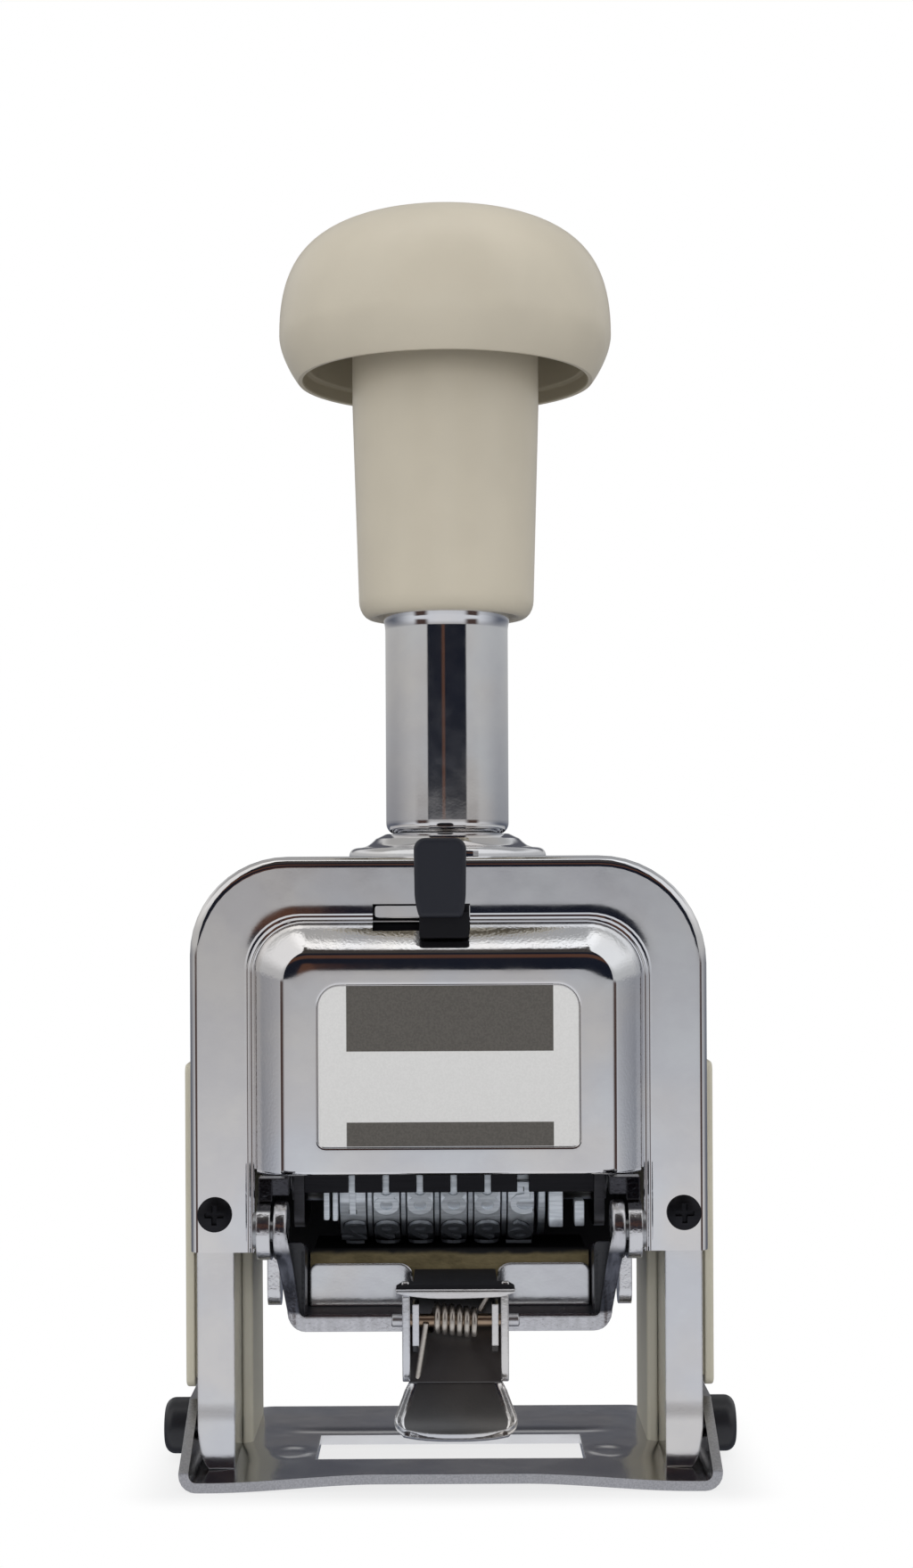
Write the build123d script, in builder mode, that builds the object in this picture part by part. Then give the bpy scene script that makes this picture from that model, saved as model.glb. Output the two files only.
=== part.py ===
from build123d import *
import math
import os

os.makedirs("parts", exist_ok=True)

# A hand numbering machine: pressing the knob drives six type wheels down
# through a window in the base, while an ink pad under them swings away.
# Sizes are in millimetres. Each distance in front or behind is measured from the
# print axis, the upright line through the middle of the wheels. The knob's column
# stands a little behind it.

# Strokes and clearances
stroke = 25.9
plunger_back = 5.4
slide_gap = 0.1
bearing_gap = 0.05
seat_gap = 0.3

# Base plate
lug_gap = 0.4
base_front = 12.3
base_back = 20.5
base_sheet = 1.2
base_lift = 0.9
base_step_gap = 0.3
base_step_width = 1.8
base_corner = 2.0
window_margin = 1.1
window_depth = 11.4
window_corner = 0.8
rib_offset = 7.6
rib_width = 1.4
rib_height = 0.4
rib_margin = 3.7
dimple_margin = 2.9
dimple_back = 1.0
dimple_length = 3.8
dimple_width = 1.8
dimple_depth = 0.35
lug_height = 7.9
lug_top_half = 5.1
lug_foot_half = 15.5
lug_foot_height = 2.7
base_pin_height = 3.5
base_pin_radius = 1.5
cap_radius = 3.2
cap_length = 3.5
cap_rim = 1.3
cap_shoulder = 0.85
cap_crown = 0.4

# Legs and their plastic strips
leg_margin = 3.4
leg_width = 4.2
leg_front = 6.5
leg_back = 17.2
leg_sheet = 1.0
foot_curve_top = 6.6
foot_curve_low = 2.6
foot_curve_width = 1.2
back_tab_half = 2.8
rail_thickness = 1.3
rail_front = 2.9
rail_top = 61.0
strip_thickness = 1.0
strip_front = 3.0
strip_back = 13.7
strip_bottom = 9.6
strip_top = 46.8

# Casing
casing_top = 70.5
casing_bottom = 25.8
casing_corner = 11.0
casing_sheet = 0.6
casing_edge = 0.45
mouth_margin = 2.8
panel_root_margin = 0.4
panel_root_top = 63.0
panel_root_corner = 6.0
panel_slope_width = 4.0
panel_top = 60.2
panel_corner = 3.4
panel_bottom = 35.3
panel_rise = 3.5
panel_edge = 1.4
label_margin = 3.4
label_bottom = 38.0
label_top = 56.1
label_corner = 2.5
label_thickness = 0.25
label_recess = 0.35
cover_sheet = 0.8
casing_screw_z = 30.1
cover_screw_low = 30.1
cover_screw_high = 56.0

# Screws
screw_head_radius = 1.95
screw_head_height = 1.0
screw_shank_radius = 1.1
screw_length = 3.2
screw_recess = 0.6
screw_slot = 0.55
screw_edge = 0.4
screw_cross = 1.1

# Guide tube, collar and bridge
tube_radius = 7.25
tube_bore = 6.3
tube_top = 104.0
tube_flange_radius = 9.4
tube_flange = 1.2
collar_radius = 11.65
collar_flange = 1.1
collar_flange_width = 1.2
collar_neck_radius = 8.5
collar_neck_height = 2.15
collar_height = 2.7
collar_notch = 0.6
collar_notch_x = 3.2
bridge_bottom = 64.5
bridge_sheet = 2.0
bridge_seat = 0.2
bridge_front = 4.6
bush_radius = 4.6
bush_flange_radius = 5.8
bush_flange = 0.8

# Handle
rod_radius = 3.0
sleeve_overlap = 5.3
sleeve_top_radius = 11.0
sleeve_bottom_radius = 10.4
sleeve_shoulder_drop = 2.9
sleeve_top_rise = 6.9
sleeve_bore = 7.5
sleeve_mouth = 8.4
sleeve_mouth_depth = 1.2
sleeve_round = 1.9
knob_radius = 19.75
knob_widest_rise = 5.3
knob_height = 19.6
knob_rim_rise = 27.7
knob_rim_radius = 17.5
knob_fullness = 0.74
knob_underside = 0.6
knob_wall = 2.9
knob_ledge = 1.6
knob_ledge_width = 0.7
knob_hollow_rise = 8.3
knob_hub_radius = 12.8
rod_top_drop = 6.5
nut_radius = 4.6
nut_height = 3.0
spring_seat_drop = 3.0
spring_seat_thickness = 1.4
spring_seat_radius = 5.9

# Return spring
return_spring_outer = 5.6
return_spring_inner = 3.5

# Type wheels
wheel_count = 6
wheel_sides = 10
wheel_radius = 7.9
wheel_width = 3.0
wheel_pitch = 3.8
wheel_group_x = -1.4
wheel_axle_height = 33.9
axle_radius = 2.0
type_proud = 0.4
type_width = 2.3
type_height = 3.6
ratchet_radius = 6.0
ratchet_root = 5.1
ratchet_width = 0.4
ratchet_tooth_long = 1.7
ratchet_tooth_short = 0.85
spacer_radius = 6.7
spacer_width = 0.2

# Carriage
cheek_margin = 2.1
cheek_sheet = 1.2
cheek_half_depth = 6.4
cheek_drop = 5.6
cheek_top_back = 10.8
cheek_step_low = 52.0
cheek_step_high = 56.0
yoke_sheet = 2.6
yoke_front = 4.4
axle_overhang = 0.9
clip_radius = 3.2
clip_sheet = 0.4
sleeve_radius = 3.2
detent_bar_front = 3.2
detent_bar_rise = 11.3
detent_bar_radius = 1.2
detent_width = 2.2
detent_sheet = 0.25

# Pawl frame
pawl_left_margin = 1.9
pawl_right_margin = 1.7
pawl_sheet = 0.8
pawl_hub_radius = 4.6
pawl_bar_reach = 9.5
pawl_bar_radius = 0.7
pawl_tip_reach = 6.35
pawl_finger = 0.34
pawl_comb_sheet = 0.45

# Pivot brackets for the ink arm
bracket_margin = 1.9
bracket_sheet = 1.5
pivot_front = 14.4
pivot_height = 29.4
ear_radius = 3.2
pivot_radius = 1.2
pivot_head_radius = 2.0
pivot_head = 0.5
bracket_body_front = 5.4
bracket_body_back = 5.0
bracket_body_bottom = 25.6
bracket_lug_bottom = 18.6
bracket_lug_half = 2.2
stop_tab_front = 13.5
stop_tab_back = 11.4
stop_tab_bottom = 33.1
stop_tab_top = 35.0

# Ink arm, tray and pad
arm_sheet = 1.6
arm_ear_sheet = 1.5
arm_bottom = 18.6
arm_margin = 1.9
arm_front = 16.2
arm_back = 8.6
arm_side_height = 3.0
arm_corner = 3.0
arm_knee_high = 26.9
arm_knee_low = 23.2
tray_margin = 1.9
tray_front = 9.6
tray_back = 8.4
tray_sheet = 0.6
tray_top = 24.3
tray_notch = 1.7
pad_gap = 0.35
pad_lip_rise = 1.3
pad_lip_back = 6.0
pad_slope_back = 3.6

# Latch on the ink arm
latch_x = 0.6
latch_pin_front = 19.2
latch_pin_height = 20.4
latch_pin_radius = 0.7
latch_pin_half = 6.9
latch_ear_outer = 5.7
latch_ear_sheet = 0.9
latch_ear_front = 21.2
latch_ear_back = 17.2
latch_plate_bottom = 23.0
latch_plate_sheet = 1.2
latch_plate_half = 4.6
latch_plate_back = 9.9
latch_lip_half = 6.6
latch_lip_front = 21.8
latch_lip_depth = 1.3
latch_lip_sheet = 1.6
latch_web_top = 16.4
latch_bend = 13.6
latch_sheet = 0.8
tab_reach = 24.5
tab_tip_height = 8.6
tab_half = 6.6
tab_shoulder = 10.9
tab_corner = 2.1
latch_bracket_half = 4.6
latch_bracket_sheet = 0.7
latch_bracket_bottom = 17.0
latch_bracket_top = 22.4
latch_bracket_foot = 1.0

# Latch spring
coil_turns = 6
coil_pitch = 0.85
coil_radius = 1.45
coil_wire = 0.2

# Selector
selector_half = 2.9
selector_x = -0.9
selector_bottom = 63.7
selector_top = 72.4
selector_depth = 3.6
selector_round = 1.3
selector_travel = 4.8
slot_top = 65.1
slot_bottom = 62.3
selector_plate_half = 7.5
selector_plate_sheet = 0.8
selector_plate_height = 5.2
selector_tongue = 1.0

# Mask bar over the wheels
mask_margin = 0.3
mask_drop = 1.0
mask_rise = 3.7
mask_sheet = 0.8
mask_slot_width = 1.0
mask_slot_rise = 1.3
mask_slot_drop = 0.5

# Sizes that follow from the ones above
print_y = (tab_reach - plunger_back - knob_radius) / 2
plunger_y = print_y + plunger_back
plunger_axis = Axis((0, plunger_y, 0), (0, 0, 1))
bridge_top = bridge_bottom + bridge_sheet
yoke_top = bridge_bottom - bush_flange - slide_gap
yoke_bottom = yoke_top - yoke_sheet
sleeve_bottom = tube_top - sleeve_overlap
sleeve_hollow_top = tube_top + stroke + 4 * slide_gap
knob_rim = sleeve_bottom + knob_rim_rise
knob_widest = knob_rim + knob_widest_rise
knob_hollow_top = knob_rim + knob_hollow_rise
knob_top = knob_rim + knob_height
sleeve_shoulder = knob_rim - sleeve_shoulder_drop
sleeve_top = knob_rim + sleeve_top_rise
rod_top = knob_top - rod_top_drop
spring_seat_height = tube_top - spring_seat_drop
base_middle = (base_back - base_front) / 2
leg_bottom = base_sheet

# The wheels on their axle, and what stands at the same height
wheel_apothem = wheel_radius * math.cos(math.pi / wheel_sides)
first_wheel_x = wheel_group_x - (wheel_count - 1) / 2 * wheel_pitch
wheel_places = [first_wheel_x + i * wheel_pitch for i in range(wheel_count)]
ratchet_start = wheel_width / 2
spacer_start = ratchet_start + ratchet_width + slide_gap
left_stack_end = first_wheel_x - wheel_pitch + spacer_start
right_stack_end = wheel_places[-1] + spacer_start + spacer_width
detent_bar_height = wheel_axle_height + detent_bar_rise
cheek_bottom = wheel_axle_height - cheek_drop
pad_top = wheel_axle_height - wheel_radius - pad_gap
arm_top_face = arm_bottom + arm_sheet
mask_bottom = wheel_axle_height - mask_drop
mask_top = wheel_axle_height + mask_rise

# The widths, each from the piece inside it
pawl_left = wheel_width / 2 - first_wheel_x + pawl_left_margin
pawl_right = right_stack_end + pawl_right_margin
cheek_inner = pawl_left + cheek_margin
cheek_outer = cheek_inner + cheek_sheet
bracket_inner = cheek_outer + bracket_margin
bracket_outer = bracket_inner + bracket_sheet
leg_inner = bracket_outer + leg_margin
leg_outer = leg_inner + leg_width
leg_middle = (leg_inner + leg_outer) / 2
bridge_half = leg_inner + leg_sheet + bridge_seat
base_half = leg_outer + lug_gap + base_sheet
window_half = cheek_inner - window_margin
base_step_inner = window_half + base_step_gap
base_step_outer = base_step_inner + base_step_width
arm_half = bracket_inner - arm_margin
tray_half = arm_half - tray_margin

# The casing round the legs and its panel in front
casing_half = leg_outer + slide_gap + casing_sheet
casing_front = leg_front + slide_gap + casing_sheet
casing_back = leg_back + slide_gap
panel_front = casing_front + panel_rise
mouth_half = leg_inner - mouth_margin
panel_root_half = mouth_half + panel_root_margin
panel_half = panel_root_half - panel_slope_width
label_half = panel_half - label_margin
mask_half = tray_half + mask_margin


def level(height):
    """A plane that lies flat at a height, centred on the print axis."""
    return Plane(origin=(0, print_y, height))


def column(height):
    """A plane that lies flat at a height, centred on the plunger's axis."""
    return Plane(origin=(0, plunger_y, height))


def front(distance):
    """A plane that faces forwards, at a distance in front of the print axis."""
    return Plane(origin=(0, print_y - distance, 0), x_dir=(1, 0, 0), z_dir=(0, -1, 0))


def side(offset):
    """A plane across the machine at a sideways offset: its x runs backwards, its y up."""
    return Plane(origin=(offset, print_y, 0), x_dir=(0, 1, 0), z_dir=(1, 0, 0))


def arch(half, bottom, top, corner):
    """A plate outline with a flat foot and two rounded top corners."""
    with BuildSketch() as plate:
        with Locations((0, (bottom + top) / 2)):
            Rectangle(2 * half, top - bottom)
        fillet(plate.vertices().group_by(Axis.Y)[-1], corner)
    return plate.sketch


def block(x_span, y_span, z_span, mode=Mode.ADD):
    """A box between two limits along each axis, with y measured from the print axis."""
    middle = [(low + high) / 2 for low, high in (x_span, y_span, z_span)]
    size = [high - low for low, high in (x_span, y_span, z_span)]
    with Locations((middle[0], print_y + middle[1], middle[2])):
        Box(*size, mode=mode)


def save(piece, name):
    """Label one finished piece and write it to its own file."""
    piece.part.label = name
    export_step(piece.part, f"parts/{name}.step")


# Base plate: one pressed sheet, lifted in the middle, with a window for the wheels
# and an upright lug at each end that holds a leg
with BuildPart() as base_plate:
    with BuildSketch(front(base_front)):
        with BuildLine():
            Polyline(
                (-base_half, 0),
                (-base_step_outer, 0),
                (-base_step_inner, base_lift),
                (base_step_inner, base_lift),
                (base_step_outer, 0),
                (base_half, 0),
                (base_half, base_sheet),
                (base_step_outer, base_sheet),
                (base_step_inner, base_lift + base_sheet),
                (-base_step_inner, base_lift + base_sheet),
                (-base_step_outer, base_sheet),
                (-base_half, base_sheet),
                close=True,
            )
        make_face()
    extrude(amount=-(base_front + base_back))
    fillet(base_plate.edges().filter_by(Axis.Z), base_corner)
    for hand in (-1, 1):
        lug_inner = min(hand * base_half, hand * (base_half - base_sheet))
        with BuildSketch(side(lug_inner)):
            with BuildLine():
                Polyline(
                    (base_middle - lug_foot_half, base_sheet / 2),
                    (base_middle - lug_foot_half, lug_foot_height),
                    (base_middle - lug_top_half, lug_height),
                    (base_middle + lug_top_half, lug_height),
                    (base_middle + lug_foot_half, lug_foot_height),
                    (base_middle + lug_foot_half, base_sheet / 2),
                    close=True,
                )
            make_face()
        extrude(amount=base_sheet)
    with BuildSketch(level(base_lift + base_sheet)):
        with Locations((0, rib_offset)):
            SlotOverall(2 * (window_half + rib_margin), rib_width)
    extrude(amount=rib_height)
    extrude(
        base_plate.faces().filter_by(Axis.Z).sort_by(Axis.Z)[-1],
        amount=-rib_height - base_sheet / 2,
    )
    with BuildSketch(level(0)):
        RectangleRounded(2 * window_half, window_depth, window_corner)
    extrude(amount=base_lift + 2 * base_sheet, mode=Mode.SUBTRACT)
    dimple_x = window_half + dimple_margin
    with BuildSketch(level(base_sheet - dimple_depth)):
        with Locations((-dimple_x, dimple_back), (dimple_x, dimple_back)):
            SlotOverall(dimple_length, dimple_width)
    extrude(amount=2 * base_sheet, mode=Mode.SUBTRACT)
    with BuildSketch(side(-base_half)):
        with Locations((base_middle, base_pin_height)):
            Circle(base_pin_radius + bearing_gap)
    extrude(amount=2 * base_half, mode=Mode.SUBTRACT)
save(base_plate, "base_plate")

# Legs: a chrome channel at each side with two tabs across its open back, rounded at the top
# to fit inside the casing's corner
inner_outline = arch(
    casing_half - casing_sheet - slide_gap,
    leg_bottom,
    casing_top - casing_sheet - slide_gap,
    casing_corner - casing_sheet - slide_gap,
)
for hand, name in ((-1, "left_leg"), (1, "right_leg")):
    middle_x = hand * leg_middle
    with BuildPart() as leg:
        with BuildSketch(level(leg_bottom)):
            with Locations((middle_x, (leg_back - leg_front) / 2)):
                Rectangle(leg_outer - leg_inner, leg_front + leg_back)
            with Locations((middle_x, (leg_back - leg_front) / 2 + leg_sheet)):
                Rectangle(
                    leg_outer - leg_inner - 2 * leg_sheet,
                    leg_front + leg_back,
                    mode=Mode.SUBTRACT,
                )
        extrude(amount=bridge_bottom - leg_bottom)
        with BuildSketch(front(-leg_back - leg_sheet)):
            add(inner_outline)
        extrude(amount=leg_front + leg_back + 2 * leg_sheet, mode=Mode.INTERSECT)
        with BuildSketch(front(leg_front)):
            with BuildLine():
                Bezier(
                    (hand * leg_outer, foot_curve_top),
                    (hand * leg_outer, foot_curve_low),
                    (hand * (leg_outer - foot_curve_width), leg_bottom),
                )
                Polyline(
                    (hand * (leg_outer - foot_curve_width), leg_bottom),
                    (hand * base_half, leg_bottom),
                    (hand * base_half, foot_curve_top),
                    (hand * leg_outer, foot_curve_top),
                )
            make_face()
        extrude(amount=-(leg_front + leg_back), mode=Mode.SUBTRACT)
        for height in (cover_screw_low, cover_screw_high):
            block(
                sorted((hand * leg_inner, hand * leg_outer)),
                (leg_back - leg_sheet, leg_back),
                (height - back_tab_half, height + back_tab_half),
            )
        with BuildSketch(side(-base_half)):
            with Locations((base_middle, base_pin_height)):
                Circle(base_pin_radius + bearing_gap)
        extrude(amount=2 * base_half, mode=Mode.SUBTRACT)
        with BuildSketch(front(leg_front)):
            with Locations((hand * leg_middle, casing_screw_z)):
                Circle(screw_shank_radius + bearing_gap)
        extrude(amount=-leg_sheet, mode=Mode.SUBTRACT)
        with BuildSketch(front(-leg_back)):
            with Locations((middle_x, cover_screw_low), (middle_x, cover_screw_high)):
                Circle(screw_shank_radius + bearing_gap)
        extrude(amount=leg_sheet, mode=Mode.SUBTRACT)
    save(leg, name)

# Guide rails: plastic strips along each leg's inner side
for hand, name in ((-1, "left_guide_rail"), (1, "right_guide_rail")):
    x_span = sorted((hand * leg_inner, hand * (leg_inner - rail_thickness)))
    with BuildPart() as rail:
        block(x_span, (rail_front, leg_back), (base_sheet, rail_top))
        fillet(rail.edges().filter_by(Axis.Z).group_by(Axis.Y)[0], rail_thickness / 3)
    save(rail, name)

# Side strips: plastic pads on the outside, across the casing's side and down the leg
for hand, name in ((-1, "left_side_strip"), (1, "right_side_strip")):
    x_low = min(hand * casing_half, hand * (casing_half + strip_thickness))
    with BuildPart() as strip:
        with BuildSketch(side(x_low)) as outline:
            with Locations(((strip_back - strip_front) / 2, (strip_bottom + strip_top) / 2)):
                Rectangle(strip_front + strip_back, strip_top - strip_bottom)
            fillet(outline.vertices(), strip_thickness)
        extrude(amount=strip_thickness)
        outer_face = strip.faces().filter_by(Axis.X).sort_by(Axis.X)[0 if hand < 0 else -1]
        fillet(outer_face.edges(), strip_thickness / 3)
        block(
            sorted((hand * leg_outer, hand * casing_half)),
            (strip_thickness - strip_front, strip_back - strip_thickness),
            (strip_bottom + strip_thickness, casing_bottom - slide_gap),
        )
    save(strip, name)

# Base pins: they hold the legs in the base's lugs
with BuildPart() as base_pins:
    for hand in (-1, 1):
        with BuildSketch(side(hand * (leg_inner + slide_gap))):
            with Locations((base_middle, base_pin_height)):
                Circle(base_pin_radius)
        extrude(amount=hand * (base_half + cap_rim - leg_inner - slide_gap))
save(base_pins, "base_pins")

# Caps: domed black buttons on the pins' ends
for hand, name in ((-1, "left_cap"), (1, "right_cap")):
    with BuildPart() as cap:
        with BuildSketch(level(base_pin_height)):
            with BuildLine():
                Polyline(
                    (hand * (base_half + cap_length), base_middle),
                    (hand * base_half, base_middle),
                    (hand * base_half, base_middle + cap_radius),
                    (hand * (base_half + cap_rim), base_middle + cap_radius),
                )
                Bezier(
                    (hand * (base_half + cap_rim), base_middle + cap_radius),
                    (hand * (base_half + cap_length), base_middle + cap_radius * cap_shoulder),
                    (hand * (base_half + cap_length), base_middle + cap_radius * cap_crown),
                    (hand * (base_half + cap_length), base_middle),
                )
            make_face()
        revolve(axis=Axis((0, print_y + base_middle, base_pin_height), (1, 0, 0)))
        with BuildSketch(side(hand * base_half)):
            with Locations((base_middle, base_pin_height)):
                Circle(base_pin_radius + bearing_gap)
        extrude(amount=hand * (cap_rim + bearing_gap), mode=Mode.SUBTRACT)
    save(cap, name)

# Casing: a drawn chrome shell over the front, top and sides, with a raised panel
casing_outline = arch(casing_half, casing_bottom, casing_top, casing_corner)
hollow_outline = arch(
    casing_half - casing_sheet,
    casing_bottom - casing_sheet,
    casing_top - casing_sheet,
    casing_corner - casing_sheet,
)
with BuildPart() as casing:
    with BuildSketch(front(casing_front)):
        add(casing_outline)
    extrude(amount=-(casing_front + casing_back))
    front_rim = casing.faces().filter_by(Axis.Y).sort_by(Axis.Y)[0].edges()
    fillet(front_rim.sort_by(Axis.Z)[1:], casing_edge)
    with BuildSketch(front(casing_front)):
        add(arch(panel_root_half, panel_bottom, panel_root_top, panel_root_corner))
    with BuildSketch(front(panel_front)):
        add(arch(panel_half, panel_bottom, panel_top, panel_corner))
    loft()
    panel_rim = casing.faces().filter_by(Axis.Y).sort_by(Axis.Y)[0].edges()
    fillet(panel_rim.sort_by(Axis.Z)[1:], panel_edge)
    with BuildSketch(front(casing_front - casing_sheet)):
        add(hollow_outline)
    extrude(amount=-(casing_front + casing_back), mode=Mode.SUBTRACT)
    with BuildSketch(front(casing_front - casing_sheet - slide_gap)):
        add(
            arch(
                panel_root_half - casing_sheet,
                panel_bottom - casing_sheet,
                panel_root_top - casing_sheet,
                panel_root_corner - casing_sheet,
            )
        )
    with BuildSketch(front(panel_front - casing_sheet)):
        add(
            arch(
                panel_half - casing_sheet,
                panel_bottom - casing_sheet,
                panel_top - casing_sheet,
                panel_corner - casing_sheet,
            )
        )
    loft(mode=Mode.SUBTRACT)
    block(
        (-mouth_half, mouth_half),
        (-panel_front, -casing_front + 2 * casing_sheet),
        (casing_bottom - casing_sheet, panel_bottom),
        mode=Mode.SUBTRACT,
    )
    with BuildSketch(front(panel_front)):
        add(arch(label_half, label_bottom, label_top, label_corner))
    extrude(amount=-label_recess, mode=Mode.SUBTRACT)
    block(
        (selector_x - selector_half - selector_travel - seat_gap, selector_x + selector_half + seat_gap),
        (-panel_front, -casing_front + 2 * casing_sheet),
        (slot_bottom, slot_top),
        mode=Mode.SUBTRACT,
    )
    with BuildSketch(column(casing_top - 2 * casing_sheet)):
        Circle(tube_radius + slide_gap)
    extrude(amount=3 * casing_sheet, mode=Mode.SUBTRACT)
    with BuildSketch(front(casing_front + casing_sheet)):
        with Locations((-leg_middle, casing_screw_z), (leg_middle, casing_screw_z)):
            Circle(screw_shank_radius + bearing_gap)
    extrude(amount=-3 * casing_sheet, mode=Mode.SUBTRACT)
save(casing, "casing")

# Back cover: a flat sheet that closes the casing behind the wheels
with BuildPart() as back_cover:
    with BuildSketch(front(-casing_back)):
        add(casing_outline)
        with Locations(
            (-leg_middle, cover_screw_low),
            (leg_middle, cover_screw_low),
            (-leg_middle, cover_screw_high),
            (leg_middle, cover_screw_high),
        ):
            Circle(screw_shank_radius + bearing_gap, mode=Mode.SUBTRACT)
    extrude(amount=-cover_sheet)
    cover_rim = back_cover.faces().filter_by(Axis.Y).sort_by(Axis.Y)[-1].edges()
    outer_rim = cover_rim.filter_by(lambda edge: edge.length > 4 * screw_head_radius)
    fillet(outer_rim, cover_sheet / 2)
save(back_cover, "back_cover")

# Label: a thin plate set into the casing's panel
with BuildPart() as label_plate:
    with BuildSketch(front(panel_front - label_recess)):
        add(
            arch(
                label_half - slide_gap,
                label_bottom + slide_gap,
                label_top - slide_gap,
                label_corner - slide_gap,
            )
        )
    extrude(amount=label_thickness)
save(label_plate, "label_plate")

# Screws: a domed head with a cross recess on a plain shank, pointing along the plane's normal
with BuildPart() as screw:
    with BuildSketch(Plane.XZ):
        with BuildLine():
            Polyline(
                (0, screw_head_height),
                (0, -screw_length),
                (screw_shank_radius, -screw_length),
                (screw_shank_radius, 0),
                (screw_head_radius, 0),
                (screw_head_radius, screw_edge),
            )
            TangentArc((0, screw_head_height), (screw_head_radius, screw_edge), tangent=(1, 0))
        make_face()
    revolve(axis=Axis.Z)
    with BuildSketch(Plane.XY.offset(screw_head_height)):
        Rectangle(screw_head_radius * screw_cross, screw_slot)
        Rectangle(screw_slot, screw_head_radius * screw_cross)
    extrude(amount=-screw_recess, mode=Mode.SUBTRACT)

casing_screw_plane = front(casing_front)
with BuildPart() as casing_screws:
    for hand in (-1, 1):
        place = casing_screw_plane.location * Location((hand * leg_middle, casing_screw_z, 0))
        with Locations(place):
            add(screw.part)
save(casing_screws, "casing_screws")

cover_plane = Plane(
    origin=(0, print_y + casing_back + cover_sheet, 0), x_dir=(-1, 0, 0), z_dir=(0, 1, 0)
)
with BuildPart() as cover_screws:
    for hand in (-1, 1):
        for height in (cover_screw_low, cover_screw_high):
            place = cover_plane.location * Location((hand * leg_middle, height, 0))
            with Locations(place):
                add(screw.part)
save(cover_screws, "cover_screws")

# Bridge: a cross plate on top of the legs that carries the tube and the brackets
with BuildPart() as top_bridge:
    block(
        (-bridge_half, bridge_half),
        (-bridge_front, leg_back),
        (bridge_bottom, bridge_top),
    )
    fillet(top_bridge.edges().filter_by(Axis.Z), base_corner)
    with BuildSketch(column(bridge_bottom)):
        Circle(bush_radius + bearing_gap)
    extrude(amount=bridge_sheet, mode=Mode.SUBTRACT)
save(top_bridge, "top_bridge")

# Rod bush: a flanged brass bearing pressed up into the bridge
with BuildPart() as rod_bush:
    with BuildSketch(column(bridge_bottom - bush_flange)):
        Circle(bush_flange_radius)
    extrude(amount=bush_flange)
    with BuildSketch(column(bridge_bottom)):
        Circle(bush_radius)
    extrude(amount=bridge_sheet)
    with BuildSketch(column(bridge_bottom - bush_flange)):
        Circle(rod_radius + bearing_gap)
    extrude(amount=bridge_sheet + bush_flange, mode=Mode.SUBTRACT)
save(rod_bush, "rod_bush")

# Guide tube: the chrome column that the handle's sleeve slides down over
with BuildPart() as guide_tube:
    with BuildSketch(column(bridge_top)):
        Circle(tube_flange_radius)
    extrude(amount=tube_flange)
    with BuildSketch(column(bridge_top)):
        Circle(tube_radius)
    extrude(amount=tube_top - bridge_top)
    with BuildSketch(column(bridge_top)):
        Circle(tube_bore)
    extrude(amount=tube_top - bridge_top, mode=Mode.SUBTRACT)
    top_ring = guide_tube.faces().sort_by(Axis.Z)[-1]
    chamfer(top_ring.edges(), (tube_radius - tube_bore) / 3)
save(guide_tube, "guide_tube")

# Collar: a flared ring that covers the hole round the tube's foot
with BuildPart() as collar:
    flange_edge = (collar_radius - collar_flange_width, casing_top + collar_flange)
    neck_edge = (collar_neck_radius, casing_top + collar_neck_height)
    half_way = (flange_edge[0] + neck_edge[0]) / 2
    with BuildSketch(front(-plunger_back)):
        with BuildLine():
            Polyline(
                neck_edge,
                (tube_radius + slide_gap, casing_top + collar_height),
                (tube_radius + slide_gap, casing_top),
                (collar_radius, casing_top),
            )
            Bezier(
                (collar_radius, casing_top),
                (collar_radius, casing_top + collar_flange),
                flange_edge,
            )
            Bezier(flange_edge, (half_way, flange_edge[1]), neck_edge)
        make_face()
    revolve(axis=plunger_axis)
    with BuildSketch(front(collar_radius - plunger_back)):
        with Locations((collar_notch_x, casing_top + collar_notch / 2)):
            Rectangle(collar_notch, collar_notch)
    extrude(amount=-(collar_radius - collar_neck_radius), mode=Mode.SUBTRACT)
save(collar, "collar")

# Return spring: coiled round the rod inside the tube, out of sight, so a plain tube stands for it
with BuildPart() as return_spring:
    with BuildSketch(column(bridge_top)):
        Circle(return_spring_outer)
        Circle(return_spring_inner, mode=Mode.SUBTRACT)
    extrude(amount=spring_seat_height - bridge_top)
save(return_spring, "return_spring")

# Plunger rod: runs from the carriage's yoke up into the knob
with BuildPart() as plunger_rod:
    with BuildSketch(column(yoke_bottom - nut_height)):
        Circle(rod_radius)
    extrude(amount=rod_top - yoke_bottom + nut_height)
    chamfer(plunger_rod.edges().filter_by(GeomType.CIRCLE), rod_radius / 6)
save(plunger_rod, "plunger_rod")

# Spring seat: a ring fixed on the rod that the return spring pushes up
with BuildPart() as spring_seat:
    with BuildSketch(column(spring_seat_height)):
        Circle(spring_seat_radius)
        Circle(rod_radius + bearing_gap, mode=Mode.SUBTRACT)
    extrude(amount=spring_seat_thickness)
save(spring_seat, "spring_seat")

# Nut: it holds the yoke up against the rod's shoulder
with BuildPart() as rod_nut:
    with BuildSketch(column(yoke_bottom - nut_height)):
        RegularPolygon(nut_radius, 6)
        Circle(rod_radius + bearing_gap, mode=Mode.SUBTRACT)
    extrude(amount=nut_height)
save(rod_nut, "rod_nut")

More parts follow.
